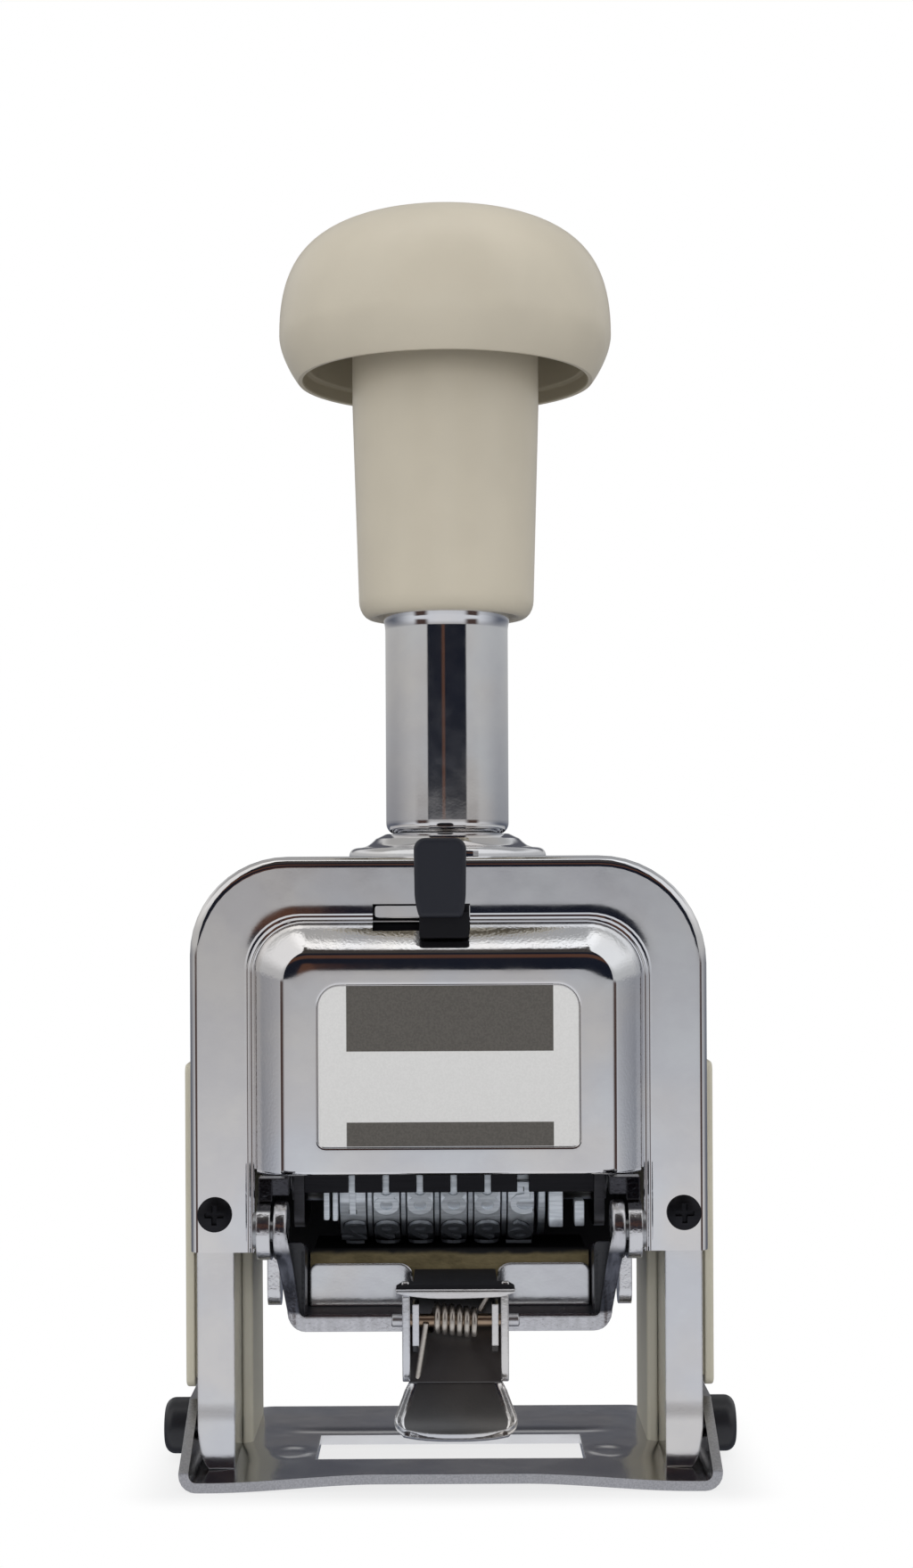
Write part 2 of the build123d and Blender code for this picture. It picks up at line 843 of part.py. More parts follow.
# Handle sleeve: a tapered plastic barrel, hollow for the tube, closed at the top round the rod
with BuildPart() as handle_sleeve:
    with BuildSketch(front(-plunger_back)) as sleeve_profile:
        with BuildLine():
            Polyline(
                (rod_radius + bearing_gap, sleeve_top),
                (rod_radius + bearing_gap, sleeve_hollow_top),
                (sleeve_bore, sleeve_hollow_top),
                (sleeve_bore, sleeve_bottom + sleeve_mouth_depth),
                (sleeve_mouth, sleeve_bottom),
                (sleeve_bottom_radius, sleeve_bottom),
                (sleeve_top_radius, sleeve_shoulder),
                (sleeve_top_radius, sleeve_top),
                close=True,
            )
        make_face()
        low_corner = sleeve_profile.vertices().group_by(Axis.Y)[0].sort_by(Axis.X)[-1]
        fillet(low_corner, sleeve_round)
    revolve(axis=plunger_axis)
save(handle_sleeve, "handle_sleeve")

# Knob: a thick plastic mushroom, hollow under its rim, that seats on the sleeve
with BuildPart() as knob:
    with BuildSketch(front(-plunger_back)):
        with BuildLine():
            Bezier(
                (0, knob_top),
                (knob_radius * knob_fullness, knob_top),
                (knob_radius, knob_widest + (knob_top - knob_widest) * knob_fullness),
                (knob_radius, knob_widest),
            )
            Bezier(
                (knob_radius, knob_widest),
                (knob_radius, knob_widest - (knob_widest - knob_rim) * knob_underside),
                ((knob_rim_radius + knob_radius) / 2, knob_rim),
                (knob_rim_radius, knob_rim),
            )
            Polyline(
                (knob_rim_radius, knob_rim),
                (knob_rim_radius - knob_ledge_width, knob_rim),
                (knob_rim_radius - knob_ledge_width, knob_rim + knob_ledge),
                (knob_radius - knob_wall - knob_ledge_width, knob_rim + knob_ledge),
                (knob_radius - knob_wall - 2 * knob_ledge_width, knob_hollow_top),
                (knob_hub_radius, knob_hollow_top),
                (knob_hub_radius, knob_rim + knob_ledge),
                (sleeve_top_radius + bearing_gap, knob_rim + knob_ledge),
                (sleeve_top_radius + bearing_gap, sleeve_top),
                (rod_radius + bearing_gap, sleeve_top),
                (rod_radius + bearing_gap, rod_top + bearing_gap),
                (0, rod_top + bearing_gap),
                (0, knob_top),
            )
        make_face()
    revolve(axis=plunger_axis)
save(knob, "knob")

# Carriage: a yoke at the top and a cheek at each side, which come down between the legs
with BuildPart() as carriage_yoke:
    block((-cheek_inner, cheek_inner), (-yoke_front, cheek_top_back), (yoke_bottom, yoke_top))
    fillet(carriage_yoke.edges().filter_by(Axis.Z), base_corner)
    with BuildSketch(column(yoke_bottom)):
        Circle(rod_radius + bearing_gap)
    extrude(amount=yoke_sheet, mode=Mode.SUBTRACT)
save(carriage_yoke, "carriage_yoke")

for hand, name in ((-1, "left_cheek"), (1, "right_cheek")):
    with BuildPart() as cheek:
        with BuildSketch(side(min(hand * cheek_inner, hand * cheek_outer))) as outline:
            with BuildLine():
                Polyline(
                    (-cheek_half_depth, cheek_bottom),
                    (cheek_half_depth, cheek_bottom),
                    (cheek_half_depth, cheek_step_low),
                    (cheek_top_back, cheek_step_high),
                    (cheek_top_back, yoke_top),
                    (-yoke_front, yoke_top),
                    (-cheek_half_depth, yoke_bottom),
                    close=True,
                )
            make_face()
            fillet(outline.vertices().group_by(Axis.Y)[0], base_corner)
            with Locations((0, wheel_axle_height)):
                Circle(axle_radius + bearing_gap, mode=Mode.SUBTRACT)
            with Locations((-detent_bar_front, detent_bar_height)):
                Circle(detent_bar_radius, mode=Mode.SUBTRACT)
        extrude(amount=cheek_sheet)
    save(cheek, name)

# Wheel axle, its end clips, and the sleeves that fill it out beside the wheels
with BuildPart() as wheel_axle:
    axle_half = cheek_outer + axle_overhang
    with BuildSketch(side(-axle_half)):
        with Locations((0, wheel_axle_height)):
            Circle(axle_radius)
    extrude(amount=2 * axle_half)
    chamfer(wheel_axle.edges().filter_by(GeomType.CIRCLE), axle_radius / 8)
save(wheel_axle, "wheel_axle")

with BuildPart() as axle_clips:
    for hand in (-1, 1):
        with BuildSketch(side(hand * (cheek_outer + slide_gap))):
            with Locations((0, wheel_axle_height)):
                Circle(clip_radius)
                Circle(axle_radius, mode=Mode.SUBTRACT)
            with Locations((0, wheel_axle_height - clip_radius)):
                Rectangle(axle_radius, 2 * clip_radius, mode=Mode.SUBTRACT)
        extrude(amount=hand * clip_sheet)
save(axle_clips, "axle_clips")

with BuildPart() as axle_sleeves:
    for low, high in (
        (-cheek_inner, left_stack_end - slide_gap),
        (right_stack_end + slide_gap, cheek_inner),
    ):
        with BuildSketch(side(low)):
            with Locations((0, wheel_axle_height)):
                Circle(sleeve_radius)
                Circle(axle_radius + bearing_gap, mode=Mode.SUBTRACT)
        extrude(amount=high - low)
save(axle_sleeves, "axle_sleeves")

# Spacers: thin steel discs between the wheels
with BuildPart() as wheel_spacers:
    for i in range(wheel_count + 1):
        with BuildSketch(side(left_stack_end + i * wheel_pitch)):
            with Locations((0, wheel_axle_height)):
                Circle(spacer_radius)
                Circle(axle_radius, mode=Mode.SUBTRACT)
        extrude(amount=spacer_width)
save(wheel_spacers, "wheel_spacers")

# Type wheels: ten flats, a raised type block on each, and a ratchet on the right face
half_side = 180 / wheel_sides
for number, wheel_x in enumerate(wheel_places, start=1):
    with BuildPart() as wheel:
        with BuildSketch(side(wheel_x - wheel_width / 2)):
            with Locations((0, wheel_axle_height)):
                RegularPolygon(wheel_radius, wheel_sides)
        extrude(amount=wheel_width)
        with BuildSketch(side(wheel_x - type_width / 2)):
            with Locations((0, wheel_axle_height)):
                with PolarLocations(wheel_apothem, wheel_sides, start_angle=half_side):
                    Rectangle(2 * type_proud, type_height)
        extrude(amount=type_width)
        with BuildSketch(side(wheel_x + ratchet_start)):
            with Locations((0, wheel_axle_height)):
                Circle(ratchet_root)
                with PolarLocations(ratchet_root, wheel_sides, start_angle=half_side):
                    Polygon(
                        (-ratchet_width, -ratchet_tooth_long),
                        (-ratchet_width, ratchet_tooth_short),
                        (ratchet_radius - ratchet_root, ratchet_tooth_short),
                        align=None,
                    )
        extrude(amount=ratchet_width)
        with BuildSketch(side(wheel_x - wheel_width / 2)):
            with Locations((0, wheel_axle_height)):
                Circle(axle_radius + bearing_gap)
        extrude(amount=wheel_width + ratchet_width, mode=Mode.SUBTRACT)
    save(wheel, f"type_wheel_{number}")

# Detents: a bar across the cheeks with a leaf spring over each wheel
with BuildPart() as detent_bar:
    with BuildSketch(side(-cheek_outer)):
        with Locations((-detent_bar_front, detent_bar_height)):
            Circle(detent_bar_radius)
    extrude(amount=2 * cheek_outer)
save(detent_bar, "detent_bar")

detent_tip = wheel_axle_height + wheel_radius + seat_gap
with BuildPart() as detent_springs:
    for wheel_x in wheel_places:
        with BuildSketch(side(wheel_x - detent_width / 2)):
            with BuildLine():
                Polyline(
                    (-detent_bar_front + detent_bar_radius, detent_bar_height),
                    (-detent_bar_front + detent_bar_radius + detent_sheet, detent_bar_height),
                    (-detent_bar_front + detent_bar_radius + detent_sheet, detent_tip + detent_sheet),
                    (detent_bar_front, detent_tip + detent_sheet),
                    (detent_bar_front, detent_tip),
                    (-detent_bar_front + detent_bar_radius, detent_tip),
                    close=True,
                )
            make_face()
        extrude(amount=detent_width)
save(detent_springs, "detent_springs")

# Pawl frame: swings on the axle's sleeves and carries the comb that turns the wheels
with BuildPart() as pawl_frame:
    for low in (-pawl_left, pawl_right - pawl_sheet):
        with BuildSketch(side(low)) as plate:
            with BuildSketch(mode=Mode.PRIVATE) as discs:
                with Locations((0, wheel_axle_height)):
                    Circle(pawl_hub_radius)
                with Locations((pawl_bar_reach, wheel_axle_height)):
                    Circle(2 * pawl_bar_radius)
            make_hull(discs.sketch.edges())
            with Locations((0, wheel_axle_height)):
                Circle(sleeve_radius + bearing_gap, mode=Mode.SUBTRACT)
        extrude(amount=pawl_sheet)
    with BuildSketch(side(-pawl_left)):
        with Locations((pawl_bar_reach, wheel_axle_height)):
            Circle(pawl_bar_radius)
    extrude(amount=pawl_left + pawl_right)
save(pawl_frame, "pawl_frame")

comb_low = wheel_axle_height + pawl_bar_radius
with BuildPart() as pawl_comb:
    block(
        (wheel_places[0] - wheel_width / 2, wheel_places[-1] + spacer_start),
        (pawl_bar_reach - pawl_bar_radius, pawl_bar_reach + pawl_bar_radius),
        (comb_low, comb_low + pawl_comb_sheet),
    )
    for wheel_x in wheel_places:
        finger = wheel_x + ratchet_start + ratchet_width / 2
        block(
            (finger - pawl_finger / 2, finger + pawl_finger / 2),
            (pawl_tip_reach, pawl_bar_reach),
            (comb_low, comb_low + pawl_comb_sheet),
        )
save(pawl_comb, "pawl_comb")

# Pivot brackets: plates that hang from the bridge, with an ear in front for the ink arm
for hand, name in ((-1, "left_bracket"), (1, "right_bracket")):
    with BuildPart() as bracket:
        with BuildSketch(side(min(hand * bracket_inner, hand * bracket_outer))) as outline:
            with Locations((-pivot_front, pivot_height)):
                Circle(ear_radius)
            with BuildLine():
                Polyline(
                    (-pivot_front, pivot_height - ear_radius),
                    (-bracket_body_front, bracket_body_bottom),
                    (-bracket_lug_half, bracket_body_bottom),
                    (-bracket_lug_half, bracket_lug_bottom),
                    (bracket_lug_half, bracket_lug_bottom),
                    (bracket_lug_half, bracket_body_bottom),
                    (bracket_body_back, bracket_body_bottom),
                    (bracket_body_back, bridge_bottom),
                    (-bracket_body_front, bridge_bottom),
                    (-bracket_body_front, pivot_height + ear_radius),
                    (-stop_tab_back, pivot_height + ear_radius),
                    (-stop_tab_back, stop_tab_top),
                    (-stop_tab_front, stop_tab_top),
                    (-pivot_front, pivot_height),
                    close=True,
                )
            make_face()
            fillet(outline.vertices().group_by(Axis.Y)[0], bracket_lug_half * 0.9)
            with Locations((-pivot_front, pivot_height)):
                Circle(pivot_radius + bearing_gap, mode=Mode.SUBTRACT)
        extrude(amount=bracket_sheet)
        block(
            sorted((hand * (arm_half + slide_gap), hand * bracket_inner)),
            (-stop_tab_front, -stop_tab_back),
            (stop_tab_bottom, stop_tab_top),
        )
    save(bracket, name)

# Pivot pins: rivets that the ink arm swings on
arm_ear_inner = bracket_inner - seat_gap - arm_ear_sheet
with BuildPart() as pivot_pins:
    for hand in (-1, 1):
        with BuildSketch(side(hand * arm_ear_inner)):
            with Locations((-pivot_front, pivot_height)):
                Circle(pivot_radius)
        extrude(amount=hand * (bracket_outer - arm_ear_inner))
        with BuildSketch(side(hand * bracket_outer)):
            with Locations((-pivot_front, pivot_height)):
                Circle(pivot_head_radius)
        extrude(amount=hand * pivot_head)
save(pivot_pins, "pivot_pins")

# Ink arm: a bent strap under the wheels, hung from the two ears
arm_ear_outer = arm_ear_inner + arm_ear_sheet
with BuildPart() as ink_arm:
    with BuildSketch(front(pivot_front + 2 * ear_radius)) as strap:
        with BuildLine():
            Polyline(
                (0, arm_bottom),
                (arm_half, arm_bottom),
                (arm_half, arm_knee_low),
                (arm_ear_outer, arm_knee_high),
                (arm_ear_outer, pivot_height + 2 * ear_radius),
                (arm_ear_inner, pivot_height + 2 * ear_radius),
                (arm_ear_inner, arm_knee_high),
                (arm_half - arm_ear_sheet, arm_knee_low),
                (arm_half - arm_ear_sheet, arm_top_face),
                (0, arm_top_face),
                close=True,
            )
        make_face()
        mirror(about=Plane.YZ)
        fillet(strap.vertices().group_by(Axis.Y)[0], arm_corner)
    extrude(amount=-(pivot_front + 2 * ear_radius + arm_back))
    with BuildSketch(side(-arm_ear_outer)):
        with Locations((-pivot_front, pivot_height)):
            Circle(ear_radius)
        with BuildLine():
            Polyline(
                (-pivot_front - ear_radius, pivot_height),
                (-arm_front, arm_bottom),
                (arm_back, arm_bottom),
                (arm_back, arm_top_face + arm_side_height / 2),
                (-tray_front + arm_side_height, arm_top_face + arm_side_height),
                (-pivot_front + ear_radius, pivot_height),
                close=True,
            )
        make_face()
    extrude(amount=2 * arm_ear_outer, mode=Mode.INTERSECT)
    with BuildSketch(side(-arm_ear_outer)):
        with Locations((-pivot_front, pivot_height)):
            Circle(pivot_radius + bearing_gap)
    extrude(amount=2 * arm_ear_outer, mode=Mode.SUBTRACT)
save(ink_arm, "ink_arm")

# Pad tray: a shallow open box on the arm, notched in front where the latch grips it
tray_bottom = arm_top_face
with BuildPart() as pad_tray:
    block((-tray_half, tray_half), (-tray_front, tray_back), (tray_bottom, tray_top))
    front_corners = pad_tray.faces().sort_by(Axis.Y)[0].edges().filter_by(Axis.Z)
    fillet(front_corners, tray_sheet)
    block(
        (-tray_half + tray_sheet, tray_half - tray_sheet),
        (-tray_front + tray_sheet, tray_back - tray_sheet),
        (tray_bottom + tray_sheet, tray_top),
        mode=Mode.SUBTRACT,
    )
    with BuildSketch(front(tray_front)):
        with Locations((latch_x, tray_top)):
            Trapezoid(4 * tray_notch + 2 * latch_plate_half, 2 * tray_notch, 60, rotation=180)
    extrude(amount=-tray_sheet, mode=Mode.SUBTRACT)
save(pad_tray, "pad_tray")

# Ink pad: felt, hollowed a little under the wheels so that the type just clears it
with BuildPart() as ink_pad:
    pad_half = tray_half - tray_sheet - slide_gap
    pad_front = tray_front - tray_sheet - slide_gap
    pad_back = tray_back - tray_sheet - slide_gap
    pad_bottom = tray_bottom + tray_sheet
    with BuildSketch(side(-pad_half)) as pad_section:
        with BuildLine():
            Polyline(
                (-pad_front, pad_bottom),
                (pad_back, pad_bottom),
                (pad_back, pad_top),
                (-pad_slope_back, pad_top),
                (-pad_lip_back, pad_top + pad_lip_rise),
                (-pad_front, pad_top + pad_lip_rise),
                close=True,
            )
        make_face()
        lip_corner = pad_section.vertices().group_by(Axis.Y)[-1].sort_by(Axis.X)[0]
        fillet(lip_corner, pad_lip_rise / 2)
    extrude(amount=2 * pad_half)
save(ink_pad, "ink_pad")

# Latch bracket: two ears on the arm's front edge that hold the latch's pin
ear_back = arm_front + seat_gap + slide_gap
with BuildPart() as latch_bracket:
    for hand in (-1, 1):
        ear_span = (hand * latch_bracket_half, hand * (latch_bracket_half - latch_bracket_sheet))
        with BuildSketch(side(latch_x + min(ear_span))):
            with BuildLine():
                Polyline(
                    (-latch_ear_front + seat_gap, latch_bracket_top),
                    (-latch_ear_front + seat_gap, latch_bracket_bottom + latch_bracket_foot),
                    (-latch_pin_front, latch_bracket_bottom),
                    (-latch_ear_back, latch_bracket_bottom + latch_bracket_foot),
                    (-ear_back, arm_top_face),
                    (-tray_front - seat_gap, arm_top_face),
                    (-tray_front - seat_gap, arm_top_face + latch_bracket_sheet),
                    (-ear_back, arm_top_face + latch_bracket_sheet),
                    (-latch_ear_back, latch_bracket_top),
                    close=True,
                )
            make_face()
            with Locations((-latch_pin_front, latch_pin_height)):
                Circle(latch_pin_radius, mode=Mode.SUBTRACT)
        extrude(amount=latch_bracket_sheet)
    block(
        (latch_x - latch_bracket_half, latch_x + latch_bracket_half),
        (-arm_front + latch_bracket_foot, -tray_front - seat_gap),
        (arm_top_face, arm_top_face + latch_bracket_sheet),
    )
save(latch_bracket, "latch_bracket")

# Latch pin: brass, fixed in the bracket, with its ends just past the latch's ears
with BuildPart() as latch_pin:
    with BuildSketch(side(latch_x - latch_pin_half)):
        with Locations((-latch_pin_front, latch_pin_height)):
            Circle(latch_pin_radius)
    extrude(amount=2 * latch_pin_half)
    chamfer(latch_pin.edges().filter_by(GeomType.CIRCLE), latch_pin_radius / 5)
save(latch_pin, "latch_pin")

# Latch: a thumb lever whose top plate holds the tray down and whose tab flares below
latch_ear_inner = latch_ear_outer - latch_ear_sheet
latch_plate_top = latch_plate_bottom + latch_plate_sheet
with BuildPart() as latch_tab:
    with BuildSketch(side(latch_x - tab_half)):
        with BuildLine():
            Polyline(
                (-latch_ear_back, latch_bend + latch_sheet),
                (-latch_ear_back, latch_bend - latch_sheet / 2),
                (-tab_reach, tab_tip_height),
                (-tab_reach, tab_tip_height + latch_sheet),
                (-latch_ear_back - latch_sheet, latch_bend + latch_sheet),
                close=True,
            )
        make_face()
    extrude(amount=2 * tab_half)
    with BuildSketch(front(tab_reach)) as tab_outline:
        with BuildLine():
            Polyline(
                (latch_x - latch_ear_outer, latch_bend + 2 * latch_sheet),
                (latch_x - latch_ear_outer, latch_bend),
                (latch_x - tab_half, tab_shoulder),
                (latch_x - tab_half, tab_tip_height),
                (latch_x + tab_half, tab_tip_height),
                (latch_x + tab_half, tab_shoulder),
                (latch_x + latch_ear_outer, latch_bend),
                (latch_x + latch_ear_outer, latch_bend + 2 * latch_sheet),
                close=True,
            )
        make_face()
        fillet(tab_outline.vertices().group_by(Axis.Y)[0], tab_corner)
    extrude(amount=-tab_reach, mode=Mode.INTERSECT)

with BuildPart() as latch:
    add(latch_tab.part)
    block(
        (latch_x - latch_plate_half, latch_x + latch_plate_half),
        (-latch_ear_front, -latch_plate_back),
        (latch_plate_bottom, latch_plate_top),
    )
    block(
        (latch_x - latch_ear_outer, latch_x + latch_ear_outer),
        (-latch_ear_front, -latch_ear_back),
        (latch_plate_bottom, latch_plate_top),
    )
    block(
        (latch_x - latch_lip_half, latch_x + latch_lip_half),
        (-latch_lip_front, -latch_lip_front + latch_lip_depth),
        (latch_plate_top - latch_lip_sheet, latch_plate_top),
    )
    lip_ends = latch.edges().filter_by(Axis.Y).filter_by(
        lambda edge: abs(abs(edge.center().X - latch_x) - latch_lip_half) < bearing_gap
    )
    fillet(lip_ends, latch_lip_sheet / 3)
    for hand in (-1, 1):
        ear_start = min(hand * latch_ear_inner, hand * latch_ear_outer)
        with BuildSketch(side(latch_x + ear_start)):
            with BuildLine():
                Polyline(
                    (-latch_ear_front, latch_plate_bottom),
                    (-latch_ear_front, latch_pin_height - latch_bracket_foot),
                    (-latch_pin_front, latch_bend),
                    (-latch_ear_back, latch_bend),
                    (-latch_ear_back, latch_plate_bottom),
                    close=True,
                )
            make_face()
            with Locations((-latch_pin_front, latch_pin_height)):
                Circle(latch_pin_radius + bearing_gap, mode=Mode.SUBTRACT)
        extrude(amount=latch_ear_sheet)
    block(
        (latch_x - latch_ear_inner, latch_x + latch_ear_inner),
        (-latch_ear_back - latch_sheet, -latch_ear_back),
        (latch_bend, latch_web_top),
    )
save(latch, "latch")


# Latch spring: one wire wound round the pin, with a leg down to the tab and one up to the plate
def coil_point(turns):
    """The wire's centre after a number of turns, seen from the coil's left end."""
    angle = 2 * math.pi * turns
    return Vector(
        latch_x + (turns - coil_turns / 2) * coil_pitch,
        print_y - latch_pin_front - coil_radius * math.cos(angle),
        latch_pin_height + coil_radius * math.sin(angle),
    )


def coil_direction(turns):
    """The wire's direction after a number of turns."""
    angle = 2 * math.pi * turns
    return Vector(
        coil_pitch / (2 * math.pi),
        coil_radius * math.sin(angle),
        coil_radius * math.cos(angle),
    ).normalized()


def biarc(start, start_direction, end, end_direction):
    """Two arcs that join two points and leave along the given directions."""
    chord = end - start
    both = start_direction + end_direction
    spread = 2 * (1 - start_direction.dot(end_direction))
    along = chord.dot(both)
    reach = (math.sqrt(along * along + spread * chord.dot(chord)) - along) / spread
    first_corner = start + start_direction * reach
    last_corner = end - end_direction * reach
    middle = (first_corner + last_corner) * 0.5
    TangentArc(start, middle, tangent=start_direction)
    TangentArc(middle, end, tangent=last_corner - first_corner)


quarter_turns = [i / 4 for i in range(4 * coil_turns + 1)]
low_leg = coil_point(0) - coil_direction(0) * (coil_point(0).Z - latch_bend - latch_sheet - seat_gap)
high_leg = coil_point(coil_turns) + coil_direction(coil_turns) * (
    latch_plate_bottom - latch_pin_height - coil_wire - seat_gap
)
with BuildPart() as latch_spring:
    with BuildLine() as wire:
        Line(low_leg, coil_point(0))
        for i in range(4 * coil_turns):
            biarc(
                coil_point(quarter_turns[i]),
                coil_direction(quarter_turns[i]),
                coil_point(quarter_turns[i + 1]),
                coil_direction(quarter_turns[i + 1]),
            )
        Line(coil_point(coil_turns), high_leg)
    with BuildSketch(Plane(origin=low_leg, z_dir=coil_direction(0))):
        Circle(coil_wire)
    sweep()
save(latch_spring, "latch_spring")

# The least gap between neighbouring turns, measured on points along the coil
samples = [coil_point(i / 24) for i in range(24 * coil_turns + 1)]
gaps = [
    (samples[i] - samples[j]).length - 2 * coil_wire
    for i in range(len(samples))
    for j in range(i + 12, len(samples))
]
print(f"latch spring: least gap to itself {min(gaps):.3f} mm")

# Selector lever: the black finger piece over the casing's top edge, with a tongue through the slot
with BuildPart() as selector_lever:
    block(
        (selector_x - selector_half, selector_x + selector_half),
        (-casing_front - seat_gap - selector_depth, -casing_front - seat_gap),
        (selector_bottom, selector_top),
    )
    fillet(selector_lever.edges().filter_by(Axis.X).group_by(Axis.Z)[-1], selector_round)
    fillet(selector_lever.edges().filter_by(Axis.Z).group_by(Axis.Y)[0], selector_round / 2)
    block(
        (selector_x - selector_half + seat_gap, selector_x + selector_half - seat_gap),
        (-casing_front - seat_gap - selector_tongue, -leg_front + seat_gap),
        (slot_bottom + seat_gap, slot_top - seat_gap),
    )
save(selector_lever, "selector_lever")

# Selector plate: the steel slide behind the casing that the lever's tongue is fixed to
with BuildPart() as selector_plate:
    block(
        (selector_x - selector_plate_half, selector_x + selector_plate_half),
        (-leg_front + seat_gap, -leg_front + seat_gap + selector_plate_sheet),
        (slot_bottom - seat_gap, slot_bottom - seat_gap + selector_plate_height),
    )
    fillet(selector_plate.edges().filter_by(Axis.Y), selector_plate_sheet)
save(selector_plate, "selector_plate")

# Mask bar: a dark strip inside the panel with a slot over each wheel
with BuildPart() as mask_bar:
    block(
        (-mask_half, mask_half),
        (-panel_front + casing_sheet, -panel_front + casing_sheet + mask_sheet),
        (mask_bottom, mask_top),
    )
    for wheel_x in wheel_places:
        block(
            (wheel_x - mask_slot_width / 2, wheel_x + mask_slot_width / 2),
            (-panel_front, -casing_front),
            (wheel_axle_height - mask_slot_drop, wheel_axle_height + mask_slot_rise),
            mode=Mode.SUBTRACT,
        )
save(mask_bar, "mask_bar")
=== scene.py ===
import math

import bmesh
import bpy
from mathutils import Matrix, Vector, geometry


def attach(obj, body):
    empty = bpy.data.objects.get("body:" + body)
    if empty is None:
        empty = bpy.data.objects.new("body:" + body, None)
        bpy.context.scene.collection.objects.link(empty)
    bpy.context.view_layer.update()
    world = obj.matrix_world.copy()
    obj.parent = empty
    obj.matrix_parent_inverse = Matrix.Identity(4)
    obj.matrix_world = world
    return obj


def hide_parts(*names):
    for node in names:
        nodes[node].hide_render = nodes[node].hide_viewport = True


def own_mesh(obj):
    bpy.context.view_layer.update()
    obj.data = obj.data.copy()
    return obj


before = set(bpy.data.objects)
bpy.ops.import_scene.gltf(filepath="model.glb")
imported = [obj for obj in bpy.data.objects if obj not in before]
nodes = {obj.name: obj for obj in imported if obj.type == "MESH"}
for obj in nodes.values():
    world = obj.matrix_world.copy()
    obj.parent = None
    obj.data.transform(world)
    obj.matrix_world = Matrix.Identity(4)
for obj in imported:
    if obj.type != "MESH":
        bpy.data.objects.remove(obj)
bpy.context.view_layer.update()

# Camera: level with the casing's top, a quarter of a metre in front of the wheels, and
# turned by a quarter of a degree as the photograph is.
scene = bpy.context.scene
camera_data = bpy.data.cameras.new("camera")
camera_data.sensor_fit = "VERTICAL"
camera_data.sensor_height = 24
FOCAL_PIXELS, PHOTO_PIXELS = 2550, 1759
camera_data.lens = camera_data.sensor_height * FOCAL_PIXELS / PHOTO_PIXELS
camera_data.shift_x = 0.0056
camera_data.shift_y = 0.0600
camera_data.clip_start = 0.01
camera = bpy.data.objects.new("camera", camera_data)
camera.location = (0, -0.2643, 0.068)
camera.rotation_euler = (math.radians(90), math.radians(0.28), 0)
scene.collection.objects.link(camera)
scene.camera = camera
scene.view_settings.view_transform = "Standard"


# Room: a plain white studio. What polished metal sees of it is pale walls, a white soft
# light overhead, and the dark side of the room behind the camera that real chrome shows.
class Wire:
    """One output of a shader node. Working with it adds nodes to its tree."""

    def __init__(self, tree, output):
        self.tree = tree
        self.output = output

    def node(self, kind, sockets, out=0, **settings):
        """Add any node: its settings first, then the values or links of its sockets."""
        made = self.tree.nodes.new(kind)
        for name, value in settings.items():
            setattr(made, name, value)
        for name, value in sockets.items():
            if isinstance(value, Wire):
                self.tree.links.new(value.output, made.inputs[name])
            else:
                made.inputs[name].default_value = value
        return Wire(self.tree, made.outputs[out])

    def maths(self, operation, *values):
        return self.node("ShaderNodeMath", dict(enumerate(values)), operation=operation)

    def __add__(self, other):
        return self.maths("ADD", self, other)

    __radd__ = __add__

    def __mul__(self, other):
        return self.maths("MULTIPLY", self, other)

    __rmul__ = __mul__

    def __sub__(self, other):
        return self.maths("SUBTRACT", self, other)

    def __rsub__(self, other):
        return self.maths("SUBTRACT", other, self)

    def __abs__(self):
        return self.maths("ABSOLUTE", self)

    def most(self, other):
        """The larger of two values."""
        return self.maths("MAXIMUM", self, other)

    def rise(self, low, high):
        """0 below low and 1 above high, with a soft change between them."""
        sockets = {"Value": self, "From Min": low, "From Max": high}
        return self.node("ShaderNodeMapRange", sockets, interpolation_type="SMOOTHSTEP")

    def band(self, low, high, soft):
        """1 from low to high and 0 outside, with a soft edge on both sides."""
        return self.rise(low - soft, low + soft) * (1 - self.rise(high - soft, high + soft))

    def part(self, axis):
        """One number of a vector: 0 is x, 1 is y, 2 is z."""
        return self.node("ShaderNodeSeparateXYZ", {0: self}, out=axis)

    def mix(self, first, second):
        """From the first colour to the second as this value goes from 0 to 1."""
        sockets = {0: self, 6: first, 7: second}
        return self.node("ShaderNodeMix", sockets, out=2, data_type="RGBA")

    def noise(self, size, detail=3, roughness=0.5, stretch=(1, 1, 1)):
        """Soft random value in lumps of about one size in metres."""
        scale = [1 / (size * s) for s in stretch]
        place = self.node("ShaderNodeMapping", {"Vector": self, "Scale": scale})
        sockets = {"Vector": place, "Scale": 1, "Detail": detail, "Roughness": roughness}
        return self.node("ShaderNodeTexNoise", sockets)


def grey(level):
    return (level, level, level, 1)


world = bpy.data.worlds.new("studio")
world.use_nodes = True
scene.world = world
tree = world.node_tree
toward = Wire(tree, tree.nodes.new("ShaderNodeTexCoord").outputs["Generated"])

# Heights and turns of the room are in degrees, from the level and from the camera's side.
height = toward.maths("ARCSINE", toward.part(2)) * math.degrees(1)
turn = toward.maths("ARCTAN2", toward.part(0), 0 - toward.part(1)) * math.degrees(1)
side_turn = abs(turn)
room = height.rise(-11, 0.5).mix((0.70, 0.71, 0.74, 1), (0.45, 0.45, 0.46, 1))
room = height.rise(0.5, 4).mix(room, grey(0.54))
room = height.rise(9, 30).mix(room, grey(0.90))
room = height.rise(60, 74).mix(room, grey(1.15))
behind = side_turn.rise(85, 100) * height.rise(20, 40)
behind = behind.most(height.rise(78, 84))
room = behind.mix(room, grey(0.42))
low_side = side_turn.rise(58, 120) * (1 - height.rise(-7, 9))
room = low_side.mix(room, (0.13, 0.14, 0.17, 1))
far_side = side_turn.rise(148, 165) * height.band(9.5, 30, 2)
